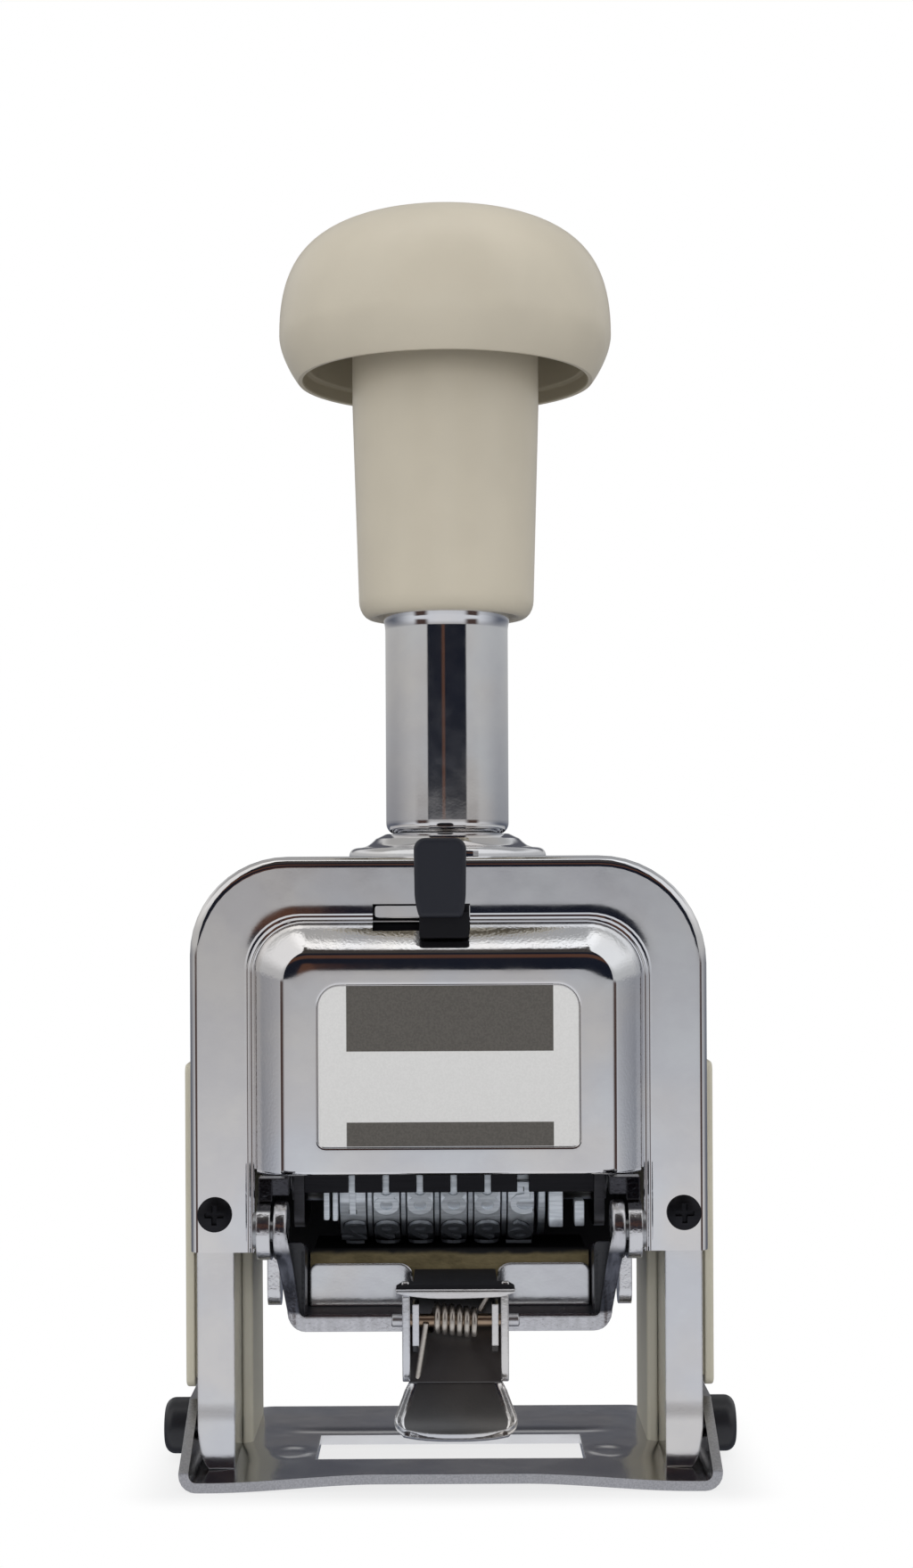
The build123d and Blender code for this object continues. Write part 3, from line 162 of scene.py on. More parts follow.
room = far_side.mix(room, (0.105, 0.107, 0.125, 1))
dark_side = (1 - side_turn.rise(35, 38)) * height.band(1.1, 73, 0.5)
reddish = height.band(20, 32, 2)
stripe = turn.band(-9, -3.5, 0.8) * (1 - height.rise(8, 10))
reddish = reddish.most(stripe)
curtain = reddish.mix((0.010, 0.012, 0.020, 1), (0.095, 0.045, 0.030, 1))
curtain = height.rise(40, 50).mix(curtain, (0.052, 0.045, 0.042, 1))
room = dark_side.mix(room, curtain)
door = side_turn.band(36, 60, 6) * height.band(-13, 0.5, 2)
room = door.mix(room, (0.070, 0.045, 0.040, 1))
rays = tree.nodes.new("ShaderNodeLightPath").outputs
seen_by_metal = Wire(tree, rays["Is Glossy Ray"])
seen_directly = Wire(tree, rays["Is Camera Ray"]).most(Wire(tree, rays["Is Transmission Ray"]))
fill = height.rise(-30, 30).mix((0.30, 0.30, 0.31, 1), (0.56, 0.57, 0.59, 1))
light = seen_directly.mix(seen_by_metal.mix(fill, room), grey(1))
tree.links.new(light.output, tree.nodes["Background"].inputs["Color"])


# Lamps: four wide soft boxes, left, right, above and in front, that metal doesn't mirror.
def soft_box(name, place, size, power):
    data = bpy.data.lights.new(name, "AREA")
    data.shape = "RECTANGLE"
    data.size, data.size_y = size
    data.energy = power
    lamp = bpy.data.objects.new(name, data)
    lamp.location = place
    aim = Vector((0, 0, 0.07)) - lamp.location
    lamp.rotation_euler = aim.to_track_quat("-Z", "Y").to_euler()
    lamp.visible_glossy = False
    scene.collection.objects.link(lamp)


soft_box("left_box", (-0.50, -0.35, 0.30), (0.35, 0.50), 0.70)
soft_box("right_box", (0.50, -0.30, 0.25), (0.35, 0.50), 0.50)
soft_box("top_box", (0, -0.10, 0.62), (0.50, 0.40), 0.75)
soft_box("front_box", (0, -0.55, 0.15), (0.30, 0.20), 0.45)


# Floor: a pale sheet that the machine stands on. It keeps the machine's soft shadow near
# the base and turns into the white of the room further out.
def reopen(material):
    """The sockets and the wire of places of a material that is made already."""
    tree = material.node_tree
    place = Wire(tree, tree.nodes.new("ShaderNodeTexCoord").outputs["Object"])
    return tree.nodes["Principled BSDF"].inputs, place


def new_finish(name, gloss=0.5, metallic=0.0):
    """A material, its shader's sockets and a wire with the place on the piece."""
    material = bpy.data.materials.new(name)
    material.use_nodes = True
    sockets, place = reopen(material)
    sockets["Metallic"].default_value = metallic
    sockets["Roughness"].default_value = gloss
    return material, sockets, place


shape = bmesh.new()
bmesh.ops.create_circle(shape, cap_ends=True, segments=96, radius=0.9)
floor_mesh = bpy.data.meshes.new("floor")
shape.to_mesh(floor_mesh)
shape.free()
floor = bpy.data.objects.new("floor", floor_mesh)
floor.visible_glossy = False
scene.collection.objects.link(floor)
paper, sockets, place = new_finish("floor_paper", gloss=0.9)
tree = paper.node_tree
sockets["Base Color"].default_value = grey(0.62)
sockets["Specular IOR Level"].default_value = 0
lit_paper = Wire(tree, tree.nodes["Principled BSDF"].outputs[0])
white = place.node("ShaderNodeEmission", {"Color": grey(1), "Strength": 1.0})
beside = (abs(place.part(0)) - 0.0300).most(0)
beyond = (abs(place.part(1) - 0.004) - 0.0164).most(0)
away = beside * beside + beyond * beyond
shadow = (1 - away.maths("SQRT", away).rise(0, 0.008)) * 0.22
seen = place.node("ShaderNodeLightPath", {}, out="Is Camera Ray")
paper_look = place.node("ShaderNodeMixShader", {0: seen * (1 - shadow), 1: lit_paper, 2: white})
tree.links.new(paper_look.output, tree.nodes["Material Output"].inputs["Surface"])
floor_mesh.materials.append(paper)

# Base: one pressed steel plate, chromed, with a window for the type, a stiffening rib, two
# dimples and an upright ear at each end that the pins of the caps go through.
MM = 0.001
PRINT_Y = -0.325 * MM


def connect(sockets, name, value):
    value.tree.links.new(value.output, sockets[name])


def relief(height, depth, edge=0.0):
    """A normal from a height that stands for a depth in metres, with softened edges."""
    sockets = {"Height": height, "Distance": depth}
    if edge:
        sockets["Normal"] = height.node("ShaderNodeBevel", {"Radius": edge}, samples=4)
    return height.node("ShaderNodeBump", sockets)


def tinted(share, *parts):
    """A colour from its parts, all times one share."""
    return (*(share * part for part in parts), 1)


def plated_skin(place):
    """Soft ripples and the finest grain of plated sheet, from 0 to about 1."""
    return place.noise(0.0050, 2) + place.noise(0.0003, 2) * 0.08


def chrome(name, tone, gloss, depth, edge=0.0, skin=plated_skin):
    """Bright plate with faint colour clouds, over metal whose skin has a depth in metres."""
    material, sockets, place = new_finish(name, metallic=1)
    cloud = place.noise(0.009, 4, 0.6).rise(0.35, 0.68)
    tint = place.noise(0.016, 2).rise(0.42, 0.60)
    cool = cloud.mix(tinted(tone, 0.92, 0.93, 0.97), tinted(tone, 0.98, 1, 1.03))
    warm = cloud.mix(tinted(tone, 0.95, 0.93, 0.93), tinted(tone, 1.03, 1, 0.97))
    connect(sockets, "Base Color", tint.mix(cool, warm))
    connect(sockets, "Roughness", gloss + place.noise(0.004).rise(0.3, 0.8) * 0.05)
    connect(sockets, "Normal", relief(skin(place), depth, edge))
    return material


def dress(finish, names):
    """Give CAD pieces their finish."""
    for name in names.split():
        nodes[name].data.materials.clear()
        nodes[name].data.materials.append(finish)


pressed_chrome = chrome("pressed_chrome", 0.76, 0.10, 0.00004, 0.00030)
BASE_HALF, BASE_FRONT, BASE_BACK, BASE_SHEET = 29.6, -12.3, 20.5, 1.1
BASE_LIFT, WINDOW_HALF, WINDOW_DEPTH = 0.9, 15.3, 5.5
LUG_MIDDLE, LUG_TOP = 4.1, 7.9
RIB_MIDDLE, DIMPLE_X, DIMPLE_Y = 8.2, 18.1, -2.0


def round_corners(shape, points, size, steps):
    """Round off corners of a line before it is made a surface."""
    bmesh.ops.bevel(
        shape, geom=points, offset=size, segments=steps, affect="VERTICES", profile=0.5, material=-1
    )


def place_piece(name, shape, finish, body, stands_for=None, sharp=35):
    """A shape drawn in millimetres from the print axis becomes a piece on its body."""
    bmesh.ops.scale(shape, vec=(MM, MM, MM), verts=shape.verts)
    bmesh.ops.translate(shape, vec=(0, PRINT_Y, 0), verts=shape.verts)
    for face in shape.faces:
        face.smooth = True
    for edge in shape.edges:
        edge.smooth = edge.is_manifold and edge.calc_face_angle(0) < math.radians(sharp)
    mesh = bpy.data.meshes.new(name)
    shape.to_mesh(mesh)
    shape.free()
    mesh.materials.append(finish)
    piece = bpy.data.objects.new(name, mesh)
    scene.collection.objects.link(piece)
    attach(piece, body)
    if stands_for:
        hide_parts(stands_for)
    return piece


def move_made(shape, made, move):
    """Move what an extrusion made, and return its edges."""
    points = [part for part in made["geom"] if isinstance(part, bmesh.types.BMVert)]
    bmesh.ops.translate(shape, vec=move, verts=points)
    return [part for part in made["geom"] if isinstance(part, bmesh.types.BMEdge)]


def split(shape, axis, *cuts, chosen=None):
    """Cut new edges where planes across an axis meet the faces, or only the chosen ones."""
    along = Vector(Matrix.Identity(3)[axis])
    for cut in cuts:
        faces = [f for f in shape.faces if chosen is None or chosen(f.calc_center_median())]
        geom = dict.fromkeys(part for face in faces for part in (face, *face.edges, *face.verts))
        bmesh.ops.bisect_plane(
            shape, geom=list(geom), dist=0.0005, plane_co=along * cut, plane_no=along
        )


def open_hole(shape, inside):
    """Delete the faces whose middle is inside."""
    faces = [face for face in shape.faces if inside(face.calc_center_median())]
    bmesh.ops.delete(shape, geom=faces, context="FACES")


def aim_faces(shape, axis, sign):
    """Turn the faces of an open sheet to look, on the whole, up or down an axis."""
    bmesh.ops.recalc_face_normals(shape, faces=shape.faces)
    if sign * sum(face.normal[axis] for face in shape.faces) < 0:
        bmesh.ops.reverse_faces(shape, faces=shape.faces)


def thicken(piece, thickness, offset=-1):
    """Give a sheet its thickness in millimetres."""
    wall = piece.modifiers.new("sheet", "SOLIDIFY")
    wall.thickness = thickness * MM
    wall.offset = offset
    wall.use_even_offset = True
    return wall


def soften(piece, width, steps=2):
    """Round the sharp edges of a piece."""
    edge = piece.modifiers.new("edge", "BEVEL")
    edge.width = width * MM
    edge.segments = steps
    edge.limit_method = "ANGLE"
    edge.angle_limit = math.radians(40)
    edge.harden_normals = False


def ease(value, low, high):
    """0 below low and 1 above high, with a soft change between them."""
    share = min(1, max(0, (value - low) / (high - low)))
    return share * share * (3 - 2 * share)


shape = bmesh.new()
middle_height = BASE_SHEET / 2
line = [
    shape.verts.new((side * BASE_HALF, BASE_FRONT, height))
    for side, height in ((-1, LUG_TOP), (-1, middle_height), (1, middle_height), (1, LUG_TOP))
]
for pair in zip(line, line[1:]):
    shape.edges.new(pair)
round_corners(shape, line[1:3], 1.4, 5)
longest = max(shape.edges, key=lambda edge: edge.calc_length())
bmesh.ops.subdivide_edges(shape, edges=[longest], cuts=117)
rows = 66
step = (BASE_BACK - BASE_FRONT) / rows
last_row = list(shape.edges)
for row in range(rows):
    last_row = move_made(shape, bmesh.ops.extrude_edge_only(shape, edges=last_row), (0, step, 0))
for side in (-1, 1):
    lug = [face for face in shape.faces if abs(face.calc_center_median().x) > BASE_HALF - 0.5]
    geom = dict.fromkeys(part for face in lug for part in (face, *face.edges, *face.verts))
    bmesh.ops.bisect_plane(
        shape, geom=list(geom), dist=0.001, plane_co=(0, LUG_MIDDLE + side * 5.1, LUG_TOP),
        plane_no=(0, side, 2), clear_outer=True,
    )
split(shape, 0, -WINDOW_HALF, WINDOW_HALF)
split(shape, 1, -WINDOW_DEPTH, WINDOW_DEPTH)
open_hole(shape, lambda centre: abs(centre.x) < WINDOW_HALF and abs(centre.y) < WINDOW_DEPTH)
for point in shape.verts:
    x, y = abs(point.co.x), point.co.y
    spread = ease(y, BASE_FRONT, BASE_FRONT + 14)
    point.co.z += BASE_LIFT * (1 - ease(x, 8 + 14 * spread, 27 + 1.5 * spread))
    rib = (1 - ease(abs(y - RIB_MIDDLE), 0.3, 1.6)) * (1 - ease(x, 14.5, 20.5))
    dimple = 1 - ease(math.hypot((x - DIMPLE_X) / 2.5, (y - DIMPLE_Y) / 2.8), 0.5, 1)
    point.co.z -= 0.10 * rib + 0.20 * dimple
aim_faces(shape, 2, 1)
base_chrome = chrome("base_chrome", 0.58, 0.17, 0.00004, 0.00030)
sockets, place = reopen(base_chrome)
plating = Wire(base_chrome.node_tree, sockets["Base Color"].links[0].from_socket)
# Painted shade: the plating is darkened in a band along the rib, for the shade in its groove.
groove_shade = place.part(1).band(7.0 * MM, 9.0 * MM, 0.5 * MM)
groove_shade = groove_shade * (1 - abs(place.part(0)).rise(15 * MM, 19 * MM)) * 0.8
connect(sockets, "Base Color", groove_shade.mix(plating, (0.20, 0.20, 0.21, 1)))
base = place_piece("pressed_base", shape, base_chrome, "frame", "base_plate")
cut_edge = chrome("cut_edge", 0.50, 0.30, 0.00006)
sockets, place = reopen(cut_edge)
# Painted light: the cut edges round the window are painted near-white, to look as bright as the
# white seen through the window.
window_edge_painted_light = 1 - abs(place.part(0)).rise(16 * MM, 17 * MM)
window_edge_painted_light = window_edge_painted_light * (1 - abs(place.part(1)).rise(6.5 * MM, 7.5 * MM))
grainy = place.noise(0.0002, 2).rise(0.3, 0.7)
grainy = grainy.mix((0.40, 0.40, 0.42, 1), (0.52, 0.52, 0.54, 1))
connect(sockets, "Base Color", window_edge_painted_light.mix(grainy, grey(0.98)))
base.data.materials.append(cut_edge)
wall = thicken(base, BASE_SHEET, 0)
wall.material_offset_rim = 1
soften(base, 0.15)


# Legs: two channels of pressed and chromed steel, standing on the base and bolted to it,
# each set back a little just above its foot.
def leg_skin(place):
    """The skin of a leg, with a shallow step in its face."""
    return plated_skin(place) - place.part(2).rise(6.2 * MM, 9.0 * MM) * 4.2


dress(chrome("leg_chrome", 0.76, 0.10, 0.00004, 0.00030, leg_skin), "left_leg right_leg")


# Guide rails and side strips: moulded beige plastic, slid into the legs and over them.
def plastic(name, tone, gloss, grain, edge=0.0):
    """Injection-moulded plastic: faint flow clouds and a very fine texture."""
    material, sockets, place = new_finish(name)
    cloud = place.noise(0.012).rise(0.3, 0.7)
    connect(sockets, "Base Color", cloud.mix(tinted(0.965, *tone), tinted(1.03, *tone)))
    connect(sockets, "Roughness", gloss + place.noise(0.0011) * 0.08)
    sockets["IOR"].default_value = 1.49
    connect(sockets, "Normal", relief(place.noise(0.0004), grain, edge))
    return material


strip_beige = plastic("strip_beige", (0.62, 0.58, 0.46), 0.40, 0.00001, 0.0003)
# Painted light: the rails are the strips' plastic made lighter, to make up for the shade they stand
# in inside the legs.
rail_beige_painted_light = plastic("rail_beige_painted_light", (0.80, 0.76, 0.62), 0.40, 0.00001, 0.0003)
dress(strip_beige, "left_side_strip right_side_strip")
dress(rail_beige_painted_light, "left_guide_rail right_guide_rail")


# Caps and pins: black moulded caps pushed on the ends of two steel pins. The pins go through
# the ears of the base and the feet of the legs.
def steel(name, tone, gloss, edge=0.00012):
    """Bare machined steel with fine drawn scratches."""
    material, sockets, place = new_finish(name, metallic=1)
    scratch = place.noise(0.0012, 4, 0.7, stretch=(8, 1, 0.25))
    wear_and_side_shade = scratch.rise(0.3, 0.7)
    connect(sockets, "Base Color", wear_and_side_shade.mix(tinted(0.82, *tone), tinted(1, *tone)))
    connect(sockets, "Roughness", gloss + scratch * 0.12)
    connect(sockets, "Normal", relief(scratch, 0.00002, edge))
    return material


def round_edges(shape, edges, size, steps):
    """Round off edges of a closed shape."""
    bmesh.ops.bevel(
        shape, geom=edges, offset=size, segments=steps, affect="EDGES", profile=0.5, material=-1
    )


def add_disc(shape, middle, radius, width, segments=64):
    """Add a closed disc that faces sideways. Returns its points."""
    return bmesh.ops.create_cone(
        shape, cap_ends=True, segments=segments, radius1=radius, radius2=radius, depth=width,
        matrix=Matrix.Translation(middle) @ Matrix.Rotation(math.pi / 2, 4, "Y"),
    )["verts"]


black_plastic = plastic("black_plastic", (0.012, 0.0125, 0.016), 0.30, 0.00001, 0.0003)
plain_steel = steel("plain_steel", (0.50, 0.51, 0.53), 0.28)
dress(plain_steel, "base_pins")
CAP_MIDDLE, CAP_HEIGHT, CAP_RADIUS, CAP_WIDTH = 31.85, 3.65, 3.25, 3.3
for side, node in ((-1, "left_cap"), (1, "right_cap")):
    shape = bmesh.new()
    add_disc(shape, (side * CAP_MIDDLE, LUG_MIDDLE, CAP_HEIGHT), CAP_RADIUS, CAP_WIDTH)
    rim = [edge for edge in shape.edges if all(abs(v.co.x) > CAP_MIDDLE for v in edge.verts)]
    round_edges(shape, rim, 1.2, 7)
    place_piece(f"{node}_cover", shape, black_plastic, "frame", node)

# Casing: one deep-drawn shell of thin steel, chromed. A flat border runs round a raised
# panel, with a pressed crease at its foot, and the panel is sunk for the label.
CASING_HALF, CASING_TOP, CASING_CORNER = 29.3, 70.5, 11.6
CASING_FRONT, CASING_BACK = -7.2, 17.3
CASING_BOTTOM, PANEL_BOTTOM = 25.8, 35.3
EDGE_ROUND = 1.2
PANEL_HALF, PANEL_TOP, PANEL_CORNER, PANEL_PROUD = 22.0, 63.0, 6.0, 3.5
LABEL_HALF, LABEL_BOTTOM, LABEL_TOP = 14.6, 38.0, 56.1


def arch(shape, half, top, corner, y, feet):
    """An open line the shape of a doorway, seen from the front. Returns its edges."""
    old = set(shape.edges)
    path = [(-half, foot) for foot in feet] + [(-half, top), (half, top)]
    path += [(half, foot) for foot in reversed(feet)]
    points = [shape.verts.new((x, y, z)) for x, z in path]
    for pair in zip(points, points[1:]):
        shape.edges.new(pair)
    round_corners(shape, [points[len(feet)]], 0.96 * corner, 12)
    round_corners(shape, [points[len(feet) + 1]], 1.06 * corner, 12)
    return [edge for edge in shape.edges if edge not in old]


def border_line(shape, inset, y):
    """A line round the casing's edge, moved inwards."""
    half, top, corner = CASING_HALF - inset, CASING_TOP - inset, CASING_CORNER - inset
    return arch(shape, half, top, corner, y, (CASING_BOTTOM, PANEL_BOTTOM))


def panel_line(shape, inset, y, corner, feet):
    """A line round the panel's foot, moved inwards."""
    return arch(shape, PANEL_HALF - inset, PANEL_TOP - inset, corner, y, feet)


def bridge(shape, lines):
    """Join each line to the next with a strip of faces."""
    for first, second in zip(lines, lines[1:]):
        bmesh.ops.bridge_loops(shape, edges=first + second)


def bezier(*corners, steps):
    """Points along a smooth curve with four corners."""
    return geometry.interpolate_bezier(*(Vector(corner) for corner in corners), steps)


shape = bmesh.new()
rings = [border_line(shape, 0, y) for y in (CASING_BACK, CASING_FRONT + EDGE_ROUND + 0.1)]
for step in range(9):
    bend = math.radians(11.25 * step)
    y = CASING_FRONT + EDGE_ROUND * (1 - math.sin(bend))
    rings.append(border_line(shape, EDGE_ROUND * (1 - math.cos(bend)), y))
rings.append(border_line(shape, EDGE_ROUND + 0.08, CASING_FRONT))
crease = (
    (-2.4, 0), (-2.1, 0), (-1.7, -0.007), (-1.3, -0.0245), (-1.04, -0.043), (-1.0, -0.045),
    (-0.88, 0.01), (-0.78, 0.01), (-0.66, -0.07), (-0.54, -0.07), (-0.42, 0.03), (-0.32, 0.03),
    (-0.2, -0.07), (-0.1, -0.07), (0, 0),
)
for inset, depth in crease:
    corner, y = PANEL_CORNER - 0.6 * inset, CASING_FRONT + depth
    rings.append(panel_line(shape, inset, y, corner, (CASING_BOTTOM, PANEL_BOTTOM)))
bridge(shape, rings)
foot = bezier((0, 0, 0), (0.80, 1.06, 0), (2.10, 2.32, 0), (3.15, 3.10, 0), steps=16)
brow = bezier(
    (3.15, 3.10, 0), (3.42, 3.30, 0), (4.2, PANEL_PROUD, 0), (5.7, PANEL_PROUD, 0), steps=14
)
rings = []
for inset, proud in [*(point[:2] for point in foot + brow[1:]), (5.8, PANEL_PROUD)]:
    corner = max(2.6, PANEL_CORNER - 0.8 * inset)
    rings.append(panel_line(shape, inset, CASING_FRONT - proud, corner, (PANEL_BOTTOM,)))
bridge(shape, rings)
ends = sorted({v for edge in rings[-1] for v in edge.verts}, key=lambda v: (v.co.z, v.co.x))[:2]
panel_edge = rings[-1] + [shape.edges.new(ends)]


def label_line(shape, inset, y):
    """The closed outline of the label's recess."""
    old = set(shape.edges)
    half, low, high = LABEL_HALF - inset, LABEL_BOTTOM + inset, LABEL_TOP - inset
    places = ((-half, low), (-half, high), (half, high), (half, low))
    corners = [shape.verts.new((x, y, z)) for x, z in places]
    for number in range(4):
        shape.edges.new((corners[number], corners[number - 3]))
    round_corners(shape, corners[1:3], 2.5 - inset, 8)
    round_corners(shape, [corners[0], corners[3]], 0.8 - inset, 4)
    return [edge for edge in shape.edges if edge not in old]


recess = ((-0.6, 0), (-0.3, 0.003), (-0.12, 0.008), (-0.05, 0.08), (0, 0.4))
face_y = CASING_FRONT - PANEL_PROUD
lines = [label_line(shape, inset, face_y + depth) for inset, depth in recess]
bmesh.ops.triangle_fill(shape, use_beauty=True, use_dissolve=False, edges=panel_edge + lines[0])
bridge(shape, lines)
bmesh.ops.contextual_create(shape, geom=lines[-1])
lower_edge = [
    edge for edge in shape.edges if edge.is_boundary and all(
        abs(v.co.z - PANEL_BOTTOM) < 0.01 and v.co.y < CASING_FRONT - 0.3 for v in edge.verts
    )
]
for back, down in ((0, -0.12), (0.06, -0.16), (0.16, -0.14), (0.22, -0.06), (0.3, 0)):
    made = bmesh.ops.extrude_edge_only(shape, edges=lower_edge)
    lower_edge = move_made(shape, made, (0, back, down))
bmesh.ops.remove_doubles(shape, verts=shape.verts, dist=0.002)


def above_panel(centre):
    return centre.z > 58.3 and centre.y < CASING_FRONT + 0.2 and abs(centre.x) < 25


SLOT_LEFT, SLOT_RIGHT = -8.5, 2.5
for low, high in ((63.22, 65.1), (62.1, 63.1)):
    split(shape, 0, SLOT_LEFT, SLOT_RIGHT, chosen=above_panel)
    split(shape, 2, low, high, chosen=above_panel)
    open_hole(shape, lambda centre: centre.y < CASING_FRONT + 0.2
              and SLOT_LEFT < centre.x < SLOT_RIGHT and low < centre.z < high)
aim_faces(shape, 1, -1)


def casing_skin(place):
    """The skin of the casing, coarser on the panel's slope, where the sheet was stretched."""
    slope = place.part(1).band(-10.3 * MM, -8.0 * MM, 0.3 * MM)
    return plated_skin(place) + place.noise(0.0003, 2) * slope * 1.2


casing_chrome = chrome("casing_chrome", 0.80, 0.06, 0.00001, skin=casing_skin)
casing = place_piece("casing_shell", shape, casing_chrome, "frame", "casing", 60)
thicken(casing, 0.6).use_even_offset = False

# Back cover: a chromed sheet screwed over the casing's open back. Inside it hangs a near-black
# screen that is painted shade: it stands for the shade behind the wheels and closes the view there.
dress(casing_chrome, "back_cover")
# This near-black finish is painted shade on the screen and on the plate behind the selector's slot,
# and the black of the lever's tongue and of the latch's plate.
black_and_painted_shade = plastic("black_and_painted_shade", (0.006, 0.006, 0.008), 0.6, 0.00001)
black_and_painted_shade.node_tree.nodes["Principled BSDF"].inputs["Specular IOR Level"].default_value = 0.2
SCREEN_SIZE, SCREEN_MIDDLE = (45.6, 0.5, 34), (0, 16.6, 38.4)
shape = bmesh.new()
bmesh.ops.create_cube(shape, size=1)
bmesh.ops.scale(shape, vec=SCREEN_SIZE, verts=shape.verts)
bmesh.ops.translate(shape, vec=SCREEN_MIDDLE, verts=shape.verts)
upright = [edge for edge in shape.edges if abs(edge.verts[0].co.y - edge.verts[1].co.y) > 0.1]
round_edges(shape, upright, 2, 5)
place_piece("painted_shade_screen", shape, black_and_painted_shade, "frame")

# Label: a thin printed plate set in the panel, off-white with two plain dark bars.
label_white, sockets, place = new_finish("label_white", gloss=0.45)
bar = place.part(0).band(-11.4 * MM, 11.7 * MM, 0.05 * MM) * (
    place.part(2).band(48.7 * MM, 57 * MM, 0.05 * MM)
    + place.part(2).band(37 * MM, 40.8 * MM, 0.05 * MM)
)
speckle = place.noise(0.00022, 2).rise(0.3, 0.7)
paper_tone = speckle.mix((0.73, 0.72, 0.70, 1), (0.77, 0.76, 0.74, 1))
bar_tone = speckle.mix((0.085, 0.078, 0.068, 1), (0.11, 0.10, 0.088, 1))
connect(sockets, "Base Color", bar.mix(paper_tone, bar_tone))
dress(label_white, "label_plate")

# Screws: cross-head steel screws, blackened.
# The screws' blackened steel; on the mask bar it is painted shade.
black_steel_and_shade = steel("black_steel_and_shade", (0.028, 0.028, 0.032), 0.38)
dress(black_steel_and_shade, "casing_screws cover_screws")

# Bridge, bush and spring: the steel bridge under the casing's top holds the guide tube, with
# a brass bush for the rod. The return spring is wound from round steel wire and stands on the
# bridge, round the rod, under the seat that shortens it when the handle is pressed; the coil
# here is built at its full length only.
brass = steel("brass", (0.50, 0.36, 0.24), 0.25)
dress(plain_steel, "top_bridge plunger_rod spring_seat rod_nut")
dress(brass, "rod_bush")
COLUMN_Y = 5.4
RETURN_WIRE, RETURN_RADIUS, RETURN_TURNS = 0.45, 5.1, 9
RETURN_LOW, RETURN_HIGH, RETURN_PRESSED = 66.5, 101.0, 75.0


def wind(shape, start, middle, climb, wire, turns, steps, segments):
    """Wind round wire into a coil that begins at start and climbs along an axis."""
    bmesh.ops.create_circle(
        shape, segments=segments, radius=wire,
        matrix=Matrix.Translation(start) @ Matrix.Rotation(math.pi / 2, 4, "X"),
    )
    bmesh.ops.spin(
        shape, geom=shape.verts[:] + shape.edges[:], cent=middle, axis=Vector(climb).normalized(),
        dvec=Vector(climb) / steps, angle=2 * math.pi * turns, steps=steps, use_merge=False,
    )


shape = bmesh.new()
wind(
    shape, start=(RETURN_RADIUS, COLUMN_Y, RETURN_LOW + RETURN_WIRE + 0.02),
    middle=(0, COLUMN_Y, 0), climb=(0, 0, RETURN_HIGH - RETURN_LOW - 2 * RETURN_WIRE - 0.06),
    wire=RETURN_WIRE, turns=RETURN_TURNS, steps=24 * RETURN_TURNS, segments=10,
)
bmesh.ops.holes_fill(shape, edges=shape.edges)
bmesh.ops.recalc_face_normals(shape, faces=shape.faces)
coil = place_piece("return_coil", shape, plain_steel, "frame", "return_spring", 60)
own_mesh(coil)


# Guide tube: drawn steel tube, chromed, its foot rolled in over the collar.
def closed_line(shape, corners, y):
    """A closed line at one depth: corners are across, up and rounding. Returns its edges."""
    old = set(shape.edges)
    points = [shape.verts.new((across, y, up)) for across, up, _ in corners]
    for number, point in enumerate(points):
        shape.edges.new((point, points[number - len(points) + 1]))
    for point, (_, _, size) in zip(points, corners):
        if size:
            round_corners(shape, [point], size, 6)
    return [edge for edge in shape.edges if edge not in old]


def turn_round(shape, steps):
    """Turn a line in the middle plane round the column."""
    bmesh.ops.spin(
        shape, geom=shape.verts[:] + shape.edges[:], cent=(0, 0, 0), axis=(0, 0, 1),
        angle=2 * math.pi, steps=steps, use_merge=True,
    )
    bmesh.ops.remove_doubles(shape, verts=shape.verts, dist=0.001)
    bmesh.ops.recalc_face_normals(shape, faces=shape.faces)
    bmesh.ops.translate(shape, vec=(0, COLUMN_Y, 0), verts=shape.verts)


tube_chrome = chrome("tube_chrome", 0.80, 0.06, 0.00001)
shape = bmesh.new()
closed_line(shape, [
    (6.3, 66.5, 0), (9.4, 66.5, 0), (9.4, 67.7, 0.3), (6.45, 67.7, 0), (6.45, 73.3, 0),
    (7.25, 73.5, 1.0), (7.25, 74.8, 0), (7.25, 97.7, 0.5), (7.47, 98.5, 0), (7.47, 104.0, 0.2),
    (6.3, 104.0, 0.3),
], 0)
turn_round(shape, 96)
place_piece("chrome_tube", shape, tube_chrome, "frame", "guide_tube")

# Collar: a pressed and chromed ring that covers the hole in the casing's top.
dress(tube_chrome, "collar")

# Handle sleeve: a tapered barrel of moulded beige plastic that slides down over the tube.
beige_plastic = plastic("beige_plastic", (0.62, 0.56, 0.445), 0.33, 0.00001)
shape = bmesh.new()
closed_line(shape, [
    (3.1, 133.3, 0), (3.1, 130.3, 0), (7.5, 130.3, 0), (7.5, 99.9, 0), (8.4, 98.7, 0.5),
    (10.3, 98.7, 2.1), (10.36, 101.6, 0), (11.0, 123.5, 0), (11.0, 133.3, 0),
], 0)
turn_round(shape, 96)
place_piece("handle_barrel", shape, beige_plastic, "handle", "handle_sleeve")

